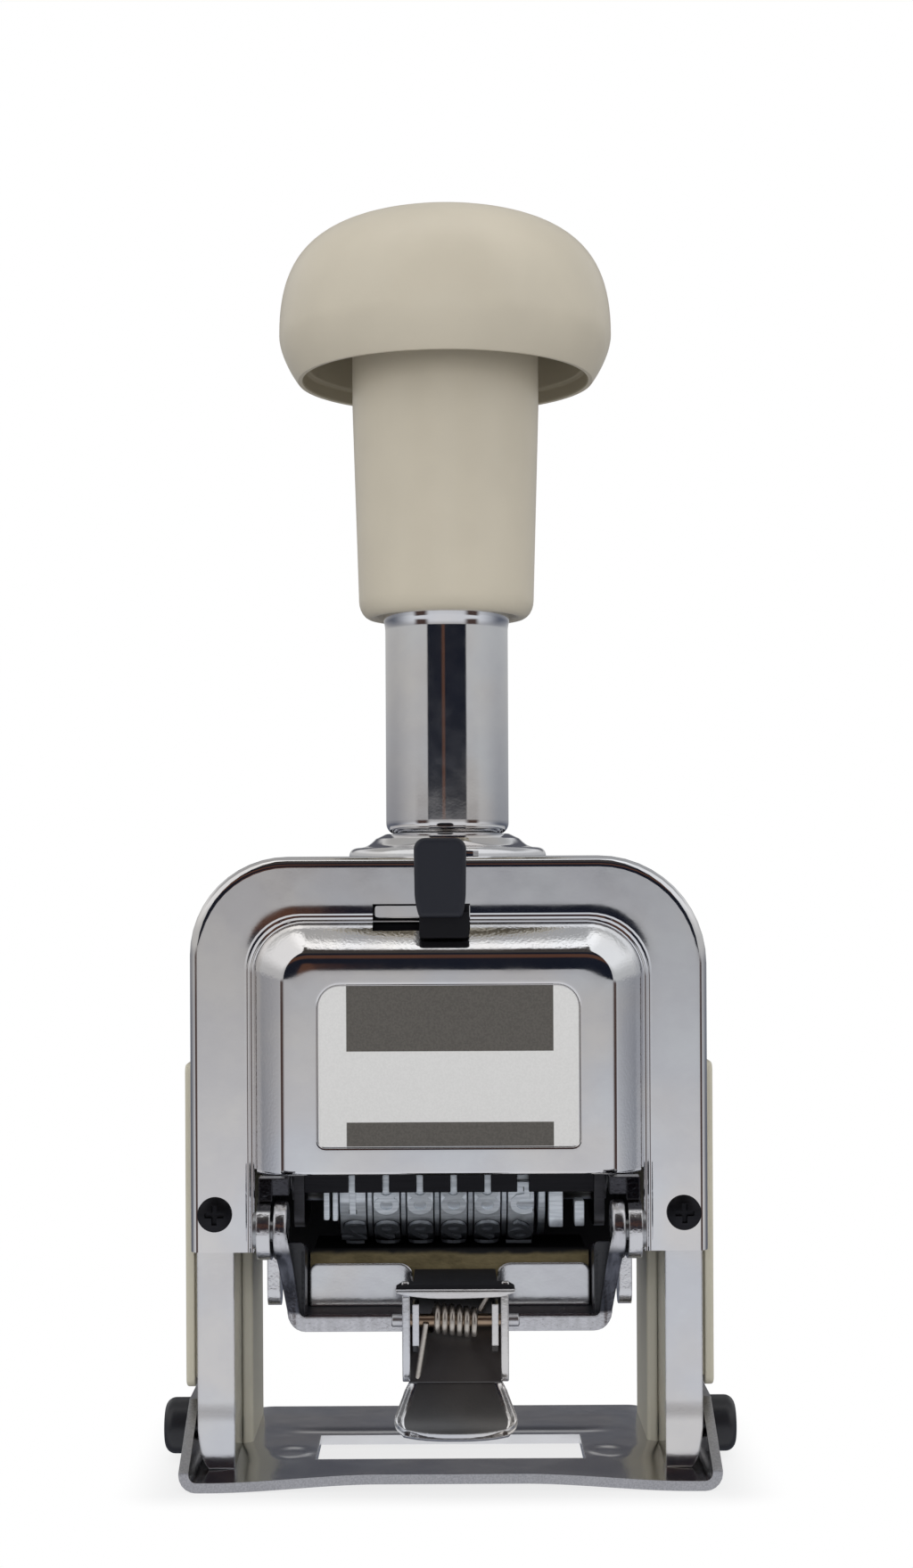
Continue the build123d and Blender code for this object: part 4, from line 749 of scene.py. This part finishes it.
# Knob: a thick moulded mushroom, hollow under its rim, pressed on the sleeve.
KNOB_TOP, KNOB_WIDE, KNOB_RIM = 146.0, 132.0, 126.7
KNOB_RADIUS, RIM_RADIUS = 19.6, 17.6
shape = bmesh.new()
crown = bezier(
    (0, 0, KNOB_TOP), (0.756 * KNOB_RADIUS, 0, KNOB_TOP),
    (KNOB_RADIUS, 0, KNOB_WIDE + 0.733 * (KNOB_TOP - KNOB_WIDE)), (KNOB_RADIUS, 0, KNOB_WIDE),
    steps=30,
)
flank = bezier(
    (KNOB_RADIUS, 0, KNOB_WIDE), (KNOB_RADIUS, 0, KNOB_WIDE - 2.2),
    (RIM_RADIUS + 0.1, 0, KNOB_RIM + 0.3), (RIM_RADIUS - 0.2, 0, KNOB_RIM), steps=14,
)
inside = [(16.8, KNOB_RIM), (16.8, KNOB_RIM + 1.6), (16.15, KNOB_RIM + 1.6), (15.45, 134.7),
          (11.05, 134.7), (11.05, 133.35), (0, 133.35)]
points = [shape.verts.new(point) for point in [*crown, *flank[1:], *((r, 0, z) for r, z in inside)]]
for pair in zip(points, points[1:]):
    shape.edges.new(pair)
for number in (-7, -6, -5, -4):
    round_corners(shape, [points[number]], 0.25, 3)
turn_round(shape, 120)
# Painted shade: the faces under the rim get a darker copy of the beige plastic, for the shade
# there.
for face in shape.faces:
    centre = face.calc_center_median()
    if centre.z < 134.9 and math.hypot(centre.x, centre.y - COLUMN_Y) < 16.9:
        face.material_index = 1
knob = place_piece("handle_knob", shape, beige_plastic, "handle", "knob")
knob.data.materials.append(plastic("knob_underside_shade", (0.36, 0.32, 0.24), 0.8, 0.00001))

# Carriage: the steel yoke on the rod's end with its two cheeks, the axle, and the bar with
# leaf springs that hold each wheel on its figure.
dark_steel = steel("dark_steel", (0.10, 0.10, 0.11), 0.35)
dress(plain_steel, "carriage_yoke wheel_axle axle_sleeves wheel_spacers")
dress(dark_steel, "left_cheek right_cheek detent_bar detent_springs axle_clips")
dress(dark_steel, "pawl_frame pawl_comb")

# Type wheels: ten flats each, with a raised figure cut in mirror writing on every flat.
WHEEL_RADIUS, WHEEL_WIDTH, AXLE_HEIGHT = 7.9, 3.0, 33.9
FIRST_WHEEL, WHEEL_PITCH = -10.9, 3.8
FLAT_DISTANCE = WHEEL_RADIUS * math.cos(math.pi / 10)
FIGURE_SIZE, FIGURE_SPREAD, FIGURE_LIFT = 5.7, 1.12, 0.22
type_steel = steel("type_steel", (0.62, 0.67, 0.73), 0.32, 0.00006)
sockets, place = reopen(type_steel)
sockets["Metallic"].default_value = 0.45
# The flats are darker below 29 to 30 mm up, towards the pad.
brighter_above = (place.part(2) + place.noise(0.001) * 0.0008).rise(28.9 * MM, 30.3 * MM)
marks = place.noise(0.00025, 2, stretch=(14, 1, 1)).rise(0.3, 0.7)
bright = marks.mix((0.64, 0.69, 0.75, 1), (0.84, 0.89, 0.95, 1))
connect(sockets, "Base Color", brighter_above.mix((0.12, 0.13, 0.15, 1), bright))
# Painted shade: the thin near-black outline round each figure stands for the shade on the figures'
# walls.
figure_outline_shade = plastic("figure_outline_shade", (0.010, 0.011, 0.016), 0.5, 0.00001)


def raised_figure(shape, figure, bend, bold, depth, finish):
    """Add a figure in mirror writing on the flat that faces up from the front by bend."""
    text = bpy.data.curves.new("figure", "FONT")
    text.body = str(figure)
    text.size = FIGURE_SIZE
    text.align_x = text.align_y = "CENTER"
    text.extrude = depth / 2
    text.offset = bold
    text.resolution_u = 3
    holder = bpy.data.objects.new("figure", text)
    mesh = bpy.data.meshes.new_from_object(holder)
    old_points, old_faces = set(shape.verts), set(shape.faces)
    shape.from_mesh(mesh)
    new = [v for v in shape.verts if v not in old_points]
    bpy.data.objects.remove(holder)
    bpy.data.curves.remove(text)
    bpy.data.meshes.remove(mesh)
    up = Vector((0, math.sin(bend), math.cos(bend)))
    out = Vector((0, -math.cos(bend), math.sin(bend)))
    start = out * (FLAT_DISTANCE + depth / 2) + up * FIGURE_LIFT
    bmesh.ops.transform(shape, verts=new, matrix=Matrix((
        (-FIGURE_SPREAD, 0, 0, 0), (0, up.y, out.y, start.y),
        (0, up.z, out.z, start.z), (0, 0, 0, 1),
    )))
    faces = [face for face in shape.faces if face not in old_faces]
    bmesh.ops.reverse_faces(shape, faces=faces)
    for face in faces:
        face.material_index = finish


for number, shown in enumerate((1, 8, 8, 8, 8, 5)):
    shape = bmesh.new()
    bmesh.ops.create_circle(shape, cap_ends=True, segments=10, radius=WHEEL_RADIUS)
    bmesh.ops.rotate(shape, verts=shape.verts, matrix=Matrix.Rotation(math.pi / 2, 3, "Y"))
    bmesh.ops.rotate(shape, verts=shape.verts, matrix=Matrix.Rotation(math.pi / 2, 3, "X"))
    made = bmesh.ops.extrude_face_region(shape, geom=shape.faces[:])
    move_made(shape, made, (WHEEL_WIDTH, 0, 0))
    bmesh.ops.translate(shape, vec=(-WHEEL_WIDTH / 2, 0, 0), verts=shape.verts)
    bmesh.ops.recalc_face_normals(shape, faces=shape.faces)
    sides = [face for face in shape.faces if abs(face.normal.x) > 0.9]
    bmesh.ops.inset_region(shape, faces=sides, thickness=1.4, depth=-0.35, use_even_offset=True)
    round_edges(shape, shape.edges[:], 0.12, 2)
    for step in range(10):
        figure, bend = (shown - 1 - step) % 10, math.radians(18 + 36 * step)
        raised_figure(shape, figure, bend, 0.04, 0.40, 0)
        # The outline ring round the figure, in painted shade.
        raised_figure(shape, figure, bend, 0.12, 0.03, 1)
    middle = FIRST_WHEEL + WHEEL_PITCH * number
    bmesh.ops.translate(shape, vec=(middle, 0, AXLE_HEIGHT), verts=shape.verts)
    body = f"wheel_{number + 1}"
    wheel = place_piece(f"figure_{body}", shape, type_steel, body, f"type_{body}")
    wheel.data.materials.append(figure_outline_shade)


# Discs and strips beside the wheels: narrow steel spacers on the axle, and the ends of the
# plates that hold the axle's parts together.
def plate(shape, corners, start, depth, sideways=False):
    """Add a flat plate: corners are across, up and rounding. Its faces look at -Y, or at X."""
    old = set(shape.verts)
    outline = closed_line(shape, corners, start)
    faces = bmesh.ops.contextual_create(shape, geom=outline)["faces"]
    move_made(shape, bmesh.ops.extrude_face_region(shape, geom=faces), (0, depth, 0))
    new = [point for point in shape.verts if point not in old]
    if sideways:
        bmesh.ops.rotate(shape, verts=new, matrix=Matrix.Rotation(-math.pi / 2, 3, "Z"))
        bmesh.ops.scale(shape, vec=(1, -1, 1), verts=new)
    faces = list(dict.fromkeys(face for point in new for face in point.link_faces))
    bmesh.ops.recalc_face_normals(shape, faces=faces)
    return new


def oblong(left, right, low, high, size=0, top_size=None):
    """The corners of an upright plate, with another rounding for its top if it has one."""
    if top_size is None:
        top_size = size
    return [(left, low, size), (right, low, size), (right, high, top_size), (left, high, top_size)]


DISC_RADIUS, DISC_WIDTH = 7.35, 0.55
shape = bmesh.new()
for number in range(5):
    middle = FIRST_WHEEL + WHEEL_PITCH * (number + 0.5)
    add_disc(shape, (middle, 0, AXLE_HEIGHT), DISC_RADIUS, DISC_WIDTH, 40)
add_disc(shape, (10.45, 0, AXLE_HEIGHT), 7.2, 0.8, 40)
for left, right, low, high in (
    (-14.15, -13.5, 29.5, 34), (-13.15, -12.55, 29.4, 34), (11.2, 12.8, 28.6, 34),
    (14.1, 15.2, 28.7, 31.6),
):
    plate(shape, oblong(left, right, low, high, 0.2), -7.9, 2.5)
discs = place_piece("axle_discs", shape, type_steel, "handle")
soften(discs, 0.08)

# Mask: a near-black bar in front of the wheels with a narrow slot over each of them, and a
# bright steel finger behind five of the slots. The bar is painted shade, for the shade and dark
# reflection across the wheels' upper flats; the fingers are a painted highlight, for the lit lines
# seen through it.
MASK_FRONT, MASK_SHEET, MASK_BOTTOM, MASK_TOP, MASK_HALF = -10.1, 0.8, 32.9, 37.6, 16.2
SLOT_TOP = 36.6
shape = bmesh.new()
bmesh.ops.create_grid(shape, x_segments=1, y_segments=1, size=0.5)
bmesh.ops.rotate(shape, verts=shape.verts, matrix=Matrix.Rotation(math.pi / 2, 3, "X"))
bmesh.ops.scale(shape, vec=(2 * MASK_HALF, 1, MASK_TOP - MASK_BOTTOM), verts=shape.verts)
bmesh.ops.translate(shape, vec=(0, MASK_FRONT, (MASK_TOP + MASK_BOTTOM) / 2), verts=shape.verts)
slots = [(FIRST_WHEEL + WHEEL_PITCH * number, 0.36) for number in range(5)] + [(8.25, 0.65)]
for middle, half in slots:
    split(shape, 0, middle - half, middle + half)
split(shape, 2, SLOT_TOP)
open_hole(shape, lambda centre: centre.z < SLOT_TOP
          and any(abs(centre.x - middle) < half for middle, half in slots))
aim_faces(shape, 1, -1)
# Painted highlight: bright strips behind the slots stand for the lit lines on the figures.
fingers = bmesh.new()
for middle, half in slots[:5]:
    plate(fingers, oblong(middle - 0.42, middle + 0.42, 32.75, 37.0, 0.3, 0), -9.05, 0.35)
place_piece("lit_line_fingers", fingers, type_steel, "frame")
# Painted shade: the dark bar stands for the shade and dark reflection on the upper flats.
mask = place_piece("slotted_shade_bar", shape, black_steel_and_shade, "frame", "mask_bar")
thicken(mask, MASK_SHEET)
soften(mask, 0.08)


# Brackets and pins: cast and chromed ears on the frame that the ink arm's pivots go through.
def cast_skin(waves, grain):
    """The uneven skin of a casting under its plating."""
    return lambda place: place.noise(0.0028, 2) * waves + place.noise(0.00035, 3, 0.6) * grain


cast_chrome = chrome("cast_chrome", 0.76, 0.12, 0.00005, 0.00020, cast_skin(1.2, 0.35))
bracket_chrome = chrome("bracket_chrome", 0.76, 0.14, 0.00007, 0.00025, cast_skin(1.5, 0.6))
sockets, place = reopen(bracket_chrome)
# Painted shade: the brackets are painted near-black above 31.6 mm, for the shade over their tops.
painted_shade_top = place.part(2).rise(31.6 * MM, 31.9 * MM)
connect(sockets, "Base Color", painted_shade_top.mix((0.74, 0.74, 0.76, 1), (0.07, 0.07, 0.08, 1)))
dress(bracket_chrome, "left_bracket right_bracket")
dress(plain_steel, "pivot_pins")

# Ink arm: one chromed strap bent to a U that carries the pad. Its sides lean back and its two
# ears turn on the pivots. Near-black cheeks close it inside: painted shade, for chrome walls in
# shade.
ARM_FRONT, PIVOT_FRONT, PIVOT_HEIGHT = -16.2, -14.4, 29.4
EAR_MIDDLE, EAR_RADIUS, EAR_WIDTH = 18.45, 3.2, 1.5
# Painted shade: a near-black finish for the arm's inner walls, gussets and floor, chrome that
# stands in shade.
arm_inside_shade = plastic("arm_inside_shade", (0.020, 0.021, 0.026), 0.25, 0.00002)
shape = bmesh.new()
half_outline = [
    (17.6, 18.6, 1.9), (17.75, 20.8, 0), (18.95, 26.8, 0), (19.2, 29.4, 0), (17.7, 29.4, 0),
    (17.25, 26.8, 0), (16.3, 20.2, 0.5),
]
mirrored = [(-x, z, size) for x, z, size in reversed(half_outline)]
plate(shape, half_outline + mirrored, 0, 1.6)
for side in (-1, 1):
    split(shape, 0, *(side * across for across in (16.3, 16.6, 16.9, 17.3, 17.8, 18.3, 18.8)))
split(shape, 2, 19.2, 21, 22.5, 24, 25.5, 26.5, 27.5, 28.5)
for point in shape.verts:
    across, up = abs(point.co.x), point.co.z
    lean = max(0, across - 16.7) * 0.50 * ease(across, 16.0, 17.4) * (1 - ease(up, 25.2, 28.6))
    point.co.y += ARM_FRONT - 1.2 * ease(up, 24, 29.4) + lean
for side in (-1, 1):
    ear = add_disc(shape, (side * EAR_MIDDLE, PIVOT_FRONT, PIVOT_HEIGHT), EAR_RADIUS, EAR_WIDTH)
    edges = dict.fromkeys(edge for point in ear for edge in point.link_edges)
    rims = [edge for edge in edges if len({round(abs(f.normal.x)) for f in edge.link_faces}) == 2]
    round_edges(shape, rims, 0.3, 4)
arm_chrome = chrome("arm_chrome", 0.66, 0.16, 0.00006, 0.00025, cast_skin(1.4, 0.5))
sockets, place = reopen(arm_chrome)
# Painted shade: the strap's sides, 16 mm and more from the middle and from 20.5 to 28 mm up, are
# painted near-black for the shade they show.
wear_and_side_shade = (abs(place.part(0)) + place.noise(0.0012) * 0.0005).rise(15.8 * MM, 16.4 * MM)
wear_and_side_shade = wear_and_side_shade * place.part(2).rise(20.3 * MM, 20.8 * MM)
wear_and_side_shade = wear_and_side_shade * (1 - place.part(2).rise(27.0 * MM, 28.2 * MM))
streak = place.noise(0.0009, 3, stretch=(1, 1, 3)).rise(0.3, 0.7)
plated = streak.mix((0.56, 0.56, 0.58, 1), (0.66, 0.66, 0.69, 1))
shaded_side_colour = streak.mix((0.05, 0.053, 0.065, 1), (0.12, 0.125, 0.15, 1))
connect(sockets, "Base Color", wear_and_side_shade.mix(plated, shaded_side_colour))
place_piece("arm_strap", shape, arm_chrome, "ink_arm", "ink_arm", 50)
shape = bmesh.new()
for side in (-1, 1):
    plate(shape, [(-14.5, 18.9, 0), (8.6, 18.9, 0), (8.6, 21.5, 0.5), (-4.5, 25.2, 3),
                  (-12.5, 27.6, 1.5), (-14.5, 27.6, 0.5)], side * 16.1 - 0.25, 0.5, sideways=True)
    gusset = ((15.9, 19.0, 0), (16.6, 19.2, 0), (17.5, 26.6, 0), (17.6, 28.0, 0), (15.9, 28.0, 0.5))
    plate(shape, [(side * across, up, size) for across, up, size in gusset], -14.5, 0.5)
plate(shape, oblong(-16.5, 16.5, 18.7, 20.15), -14.5, 23.1)
arm_inside = place_piece("arm_inside", shape, arm_inside_shade, "ink_arm")
soften(arm_inside, 0.2)

# Tray: a shallow open box of chromed sheet with rounded corners, dipped where the latch
# grips it.
TRAY_HALF, TRAY_FRONT, TRAY_BACK, TRAY_LOW, TRAY_TOP = 15.7, -9.6, 8.4, 20.25, 24.9
TRAY_SHEET, TRAY_WALL_TOP = 0.6, 24.3
shape = bmesh.new()
new = plate(shape, [
    (-TRAY_HALF, TRAY_LOW, 0.4), (TRAY_HALF, TRAY_LOW, 0.4), (TRAY_HALF, TRAY_TOP, 1.0),
    (6.3, TRAY_TOP, 0.5), (5.4, 24.2, 0.4), (5.1, 21.6, 0.3), (-3.9, 21.6, 0.3), (-4.2, 24.2, 0.4),
    (-5.1, TRAY_TOP, 0.5), (-TRAY_HALF, TRAY_TOP, 1.0),
], TRAY_FRONT, TRAY_SHEET)
for point in new:
    point.co.y += 0.03 * (point.co.z - TRAY_LOW)
back_wall = oblong(-TRAY_HALF, TRAY_HALF, TRAY_LOW, TRAY_WALL_TOP, 0.4, 1.0)
plate(shape, back_wall, TRAY_BACK - TRAY_SHEET, TRAY_SHEET)
side_wall = oblong(-9.3, 8.2, TRAY_LOW, TRAY_WALL_TOP, 0, 0.3)
for start in (-TRAY_HALF, TRAY_HALF - TRAY_SHEET):
    plate(shape, side_wall, start, TRAY_SHEET, sideways=True)
plate(shape, oblong(-15.6, 15.6, 20.1, 20.5, 0.15), TRAY_FRONT - 0.25, 0.4)
tray = place_piece("tray_walls", shape, pressed_chrome, "ink_arm", "pad_tray", 50)
soften(tray, 0.15, 3)

# Ink pad: a block of felt with a lip in front, olive where it is dry and black with ink on
# its top and its back.
felt, sockets, place = new_finish("felt", gloss=0.95)
hair = place.noise(0.0005, 4, 0.7, stretch=(2, 1, 1))
blotch = place.noise(0.004, 3).rise(0.35, 0.65)
tone = (hair * 0.6 + blotch * 0.4).mix((0.060, 0.048, 0.026, 1), (0.190, 0.155, 0.085, 1))
inked = (place.part(2) + blotch * 0.0003).rise(25.75 * MM, 26.3 * MM)
inked = inked.most(place.part(1).rise(-8.8 * MM, -8.2 * MM))
connect(sockets, "Base Color", inked.mix(tone, (0.012, 0.012, 0.013, 1)))
sockets["Specular IOR Level"].default_value = 0.1
connect(sockets, "Normal", relief(hair, 0.00015))
PAD_HALF = 15.6
shape = bmesh.new()
plate(shape, [(-8.85, 20.9, 0), (7.7, 20.9, 0), (7.7, 25.4, 0.4), (-4.0, 25.4, 1.5),
              (-6.0, 26.15, 1.0), (-8.85, 26.15, 0.6)], -PAD_HALF, 2 * PAD_HALF, sideways=True)
pad = place_piece("felt_pad", shape, felt, "ink_arm", "ink_pad")
soften(pad, 0.3, 3)

# Latch: one chromed sheet bent to a channel round the pin, its foot flared to a thumb tab
# with a rolled rim, and its top folded to a lip on a blackened plate that holds the tray.
LATCH_X, PIN_FRONT, PIN_HEIGHT = 0.6, -19.2, 20.4
TAB_TOP_HALF, TAB_HALF = 4.9, 6.45
dress(cast_chrome, "latch_bracket")
side_line = bezier((0, -19.7, 14.1), (0, -21.2, 11.0), (0, -22.3, 9.3), (0, -24.1, 8.85), steps=40)
lengths = [0]
for first, second in zip(side_line, side_line[1:]):
    lengths.append(lengths[-1] + (second - first).length)
shape = bmesh.new()
bmesh.ops.create_grid(shape, x_segments=56, y_segments=56, size=1)
for point in shape.verts:
    across, share = point.co.x, (1 - point.co.y) / 2
    half = TAB_TOP_HALF + (TAB_HALF - TAB_TOP_HALF) * min(1, share * 1.5) ** 0.9
    half *= 1 - 0.20 * max(0, (share - 0.72) / 0.28) ** 2.4
    run = share * lengths[-1] * (1 - 0.13 * abs(across) ** 2.6)
    number = min(len(lengths) - 2, sum(1 for length in lengths[1:] if length <= run))
    part = (run - lengths[number]) / (lengths[number + 1] - lengths[number])
    middle = side_line[number].lerp(side_line[number + 1], min(1, part))
    edge_near = min((1 - abs(across)) * half, (1 - share) * lengths[-1])
    rim = (1 - ease(edge_near, 0.15, 0.75)) * ease(share, 0.0, 0.2)
    bead = ease(edge_near, 0.30, 0.55) * (1 - ease(edge_near, 0.60, 0.95))
    point.tag = edge_near > 0.85
    normal = (side_line[number + 1] - side_line[number]).normalized().cross(Vector((1, 0, 0)))
    if normal.y > 0:
        normal.negate()
    point.co = middle + normal * (0.50 * rim - 0.10 * bead * ease(share, 0, 0.2))
    point.co.x = LATCH_X + across * half
aim_faces(shape, 1, -1)
for face in shape.faces:
    face.material_index = int(all(point.tag for point in face.verts))
tab = place_piece("latch_tab", shape, cast_chrome, "latch", "latch", 60)
# A dark-toned chrome: on the web it is painted shade, for the shade inside the channel; on the tab
# it darkens the face inside the rolled rim.
darkened_chrome = chrome("darkened_chrome", 0.18, 0.42, 0.00008)
tab.data.materials.append(darkened_chrome)
thicken(tab, 0.6)
soften(tab, 0.2, 3)
shape = bmesh.new()
plate(shape, [(-15.2, 22.9, 0.3), (-16.0, 22.9, 0.3), (-20.1, 13.8, 0.2), (-19.3, 13.8, 0.2)],
      LATCH_X - 5.0, 10.0, sideways=True)
web = place_piece("latch_web", shape, darkened_chrome, "latch")
soften(web, 0.12)
shape = bmesh.new()
for start in (LATCH_X - 5.7, LATCH_X + 4.85):
    plate(shape, [(-21.2, 23.5, 0.3), (-21.2, 16.6, 0.5), (-20.8, 14.9, 0.6), (-20.0, 13.8, 0.4),
                  (-18.6, 14.6, 0.5), (-15.6, 23.5, 0.3)], start, 0.85, sideways=True)
for side in (-1, 1):
    plate(shape, [(-21.0, 23.4, 0.2), (-20.2, 23.4, 0.2), (-20.2, 24.85, 0.35),
                  (-21.0, 24.85, 0.35)], LATCH_X + side * 5.35 - 0.4, 0.8, sideways=True)
channel = place_piece("latch_channel", shape, cast_chrome, "latch")
soften(channel, 0.12)
shape = bmesh.new()
plate(shape, [(LATCH_X - 6.4, 23.94, 0.1), (LATCH_X - 6.2, 23.75, 0.1), (LATCH_X - 4.8, 23.35, 2.0),
              (LATCH_X, 23.05, 8.0), (LATCH_X + 4.8, 23.35, 2.0), (LATCH_X + 6.2, 23.75, 0.1),
              (LATCH_X + 6.4, 23.94, 0.1)], -21.8, 2.6)
plate(shape, oblong(LATCH_X - 6.4, LATCH_X + 6.4, 24.03, 24.18), -21.8, 0.3)
lip = place_piece("latch_lip", shape, cast_chrome, "latch")
soften(lip, 0.16, 4)
shape = bmesh.new()
plate(shape, [(LATCH_X - 6.4, 24.16, 0.1), (LATCH_X + 6.4, 24.16, 0.1), (LATCH_X + 5.6, 24.62, 0.3),
              (LATCH_X - 5.6, 24.62, 0.3)], -21.65, 2.4)
plate(shape, [(-20.8, 23.4, 0), (-9.9, 23.4, 0.3), (-9.9, 24.35, 0.3), (-20.8, 24.35, 0)],
      LATCH_X - 4.5, 9.0, sideways=True)
latch_plate = place_piece("latch_plate", shape, black_and_painted_shade, "latch")
soften(latch_plate, 0.3, 3)

# Latch pin and spring: a brass-coloured pin with bright ends, and a spring of thick wire
# wound on it whose two ends press on the tab and on the plate.
pin_metal = steel("pin_metal", (0.50, 0.40, 0.30), 0.25)
sockets, place = reopen(pin_metal)
end = abs(place.part(0) - LATCH_X * MM).rise(4.9 * MM, 5.0 * MM)
connect(sockets, "Base Color", end.mix((0.42, 0.31, 0.22, 1), (0.66, 0.66, 0.68, 1)))
dress(pin_metal, "latch_pin")
spring_steel = steel("spring_steel", (0.66, 0.61, 0.55), 0.30)
WIRE, COIL_RADIUS, PITCH, TURNS = 0.33, 1.36, 0.80, 5.9
shape = bmesh.new()
wind(
    shape, start=(LATCH_X - 2.55, PIN_FRONT, PIN_HEIGHT - COIL_RADIUS),
    middle=(0, PIN_FRONT, PIN_HEIGHT), climb=(PITCH * TURNS, 0, 0),
    wire=WIRE, turns=TURNS, steps=160, segments=12,
)
bmesh.ops.rotate(
    shape, verts=shape.verts, cent=(LATCH_X, PIN_FRONT, PIN_HEIGHT),
    matrix=Matrix.Rotation(math.radians(7), 3, "Y"),
)
for first, second in (
    ((-2.55, -20.2, 20.3), (-3.55, -19.55, 14.0)), ((3.2, -18.2, 21.2), (4.1, -18.0, 22.8)),
):
    first, second = Vector(first), Vector(second)
    along = second - first
    bmesh.ops.create_cone(
        shape, cap_ends=True, segments=12, radius1=WIRE, radius2=WIRE, depth=along.length,
        matrix=Matrix.LocRotScale((first + second) / 2, along.to_track_quat("Z", "Y"), None),
    )
bmesh.ops.recalc_face_normals(shape, faces=shape.faces)
place_piece("wound_spring", shape, spring_steel, "ink_arm", "latch_spring")

# Selector: a black finger piece whose tongue goes through the slot in two bars, to a chromed
# slide. Behind it a dark plate closes the slot: painted shade, for the shade inside the casing.
lever_black = plastic("lever_black", (0.009, 0.0105, 0.0175), 0.45, 0.00001, 0.0003)
shape = bmesh.new()
plate(shape, [(-3.8, 72.5, 1.3), (2.1, 72.5, 1.3), (2.0, 65.4, 1.0), (1.6, 63.6, 0.4),
              (-3.2, 63.6, 0.4), (-3.7, 65.4, 1.0)], -11.1, 3.4)
lever = place_piece(
    "finger_piece", shape, lever_black, "selector", "selector_lever",
)
soften(lever, 0.7, 4)
shape = bmesh.new()
for low, high in ((62.25, 63.0), (63.3, 65.0)):
    plate(shape, oblong(-3.2, 2.4, low, high), -9.5, 3.3)
plate(shape, oblong(-3.2, 2.4, 61.3, 64.2, 0.5, 0), -10.4, 1.0)
tongue = place_piece("lever_tongue", shape, black_and_painted_shade, "selector")
soften(tongue, 0.15)
shape = bmesh.new()
plate(shape, [(-8.35, 63.5, 0.5), (6.6, 63.5, 0.3), (6.6, 65.0, 0.3), (-8.35, 65.0, 0.5)],
      -7.0, 0.4)
slide = place_piece(
    "slide_plate", shape, casing_chrome, "selector", "selector_plate",
)
soften(slide, 0.12)
# Painted shade: a near-black plate behind the slot stands for the shade inside the casing.
shape = bmesh.new()
plate(shape, oblong(-9.6, 7.2, 60.2, 66.6, 0.5), -6.2, 0.5)
place_piece("slot_shade_plate", shape, black_and_painted_shade, "selector")
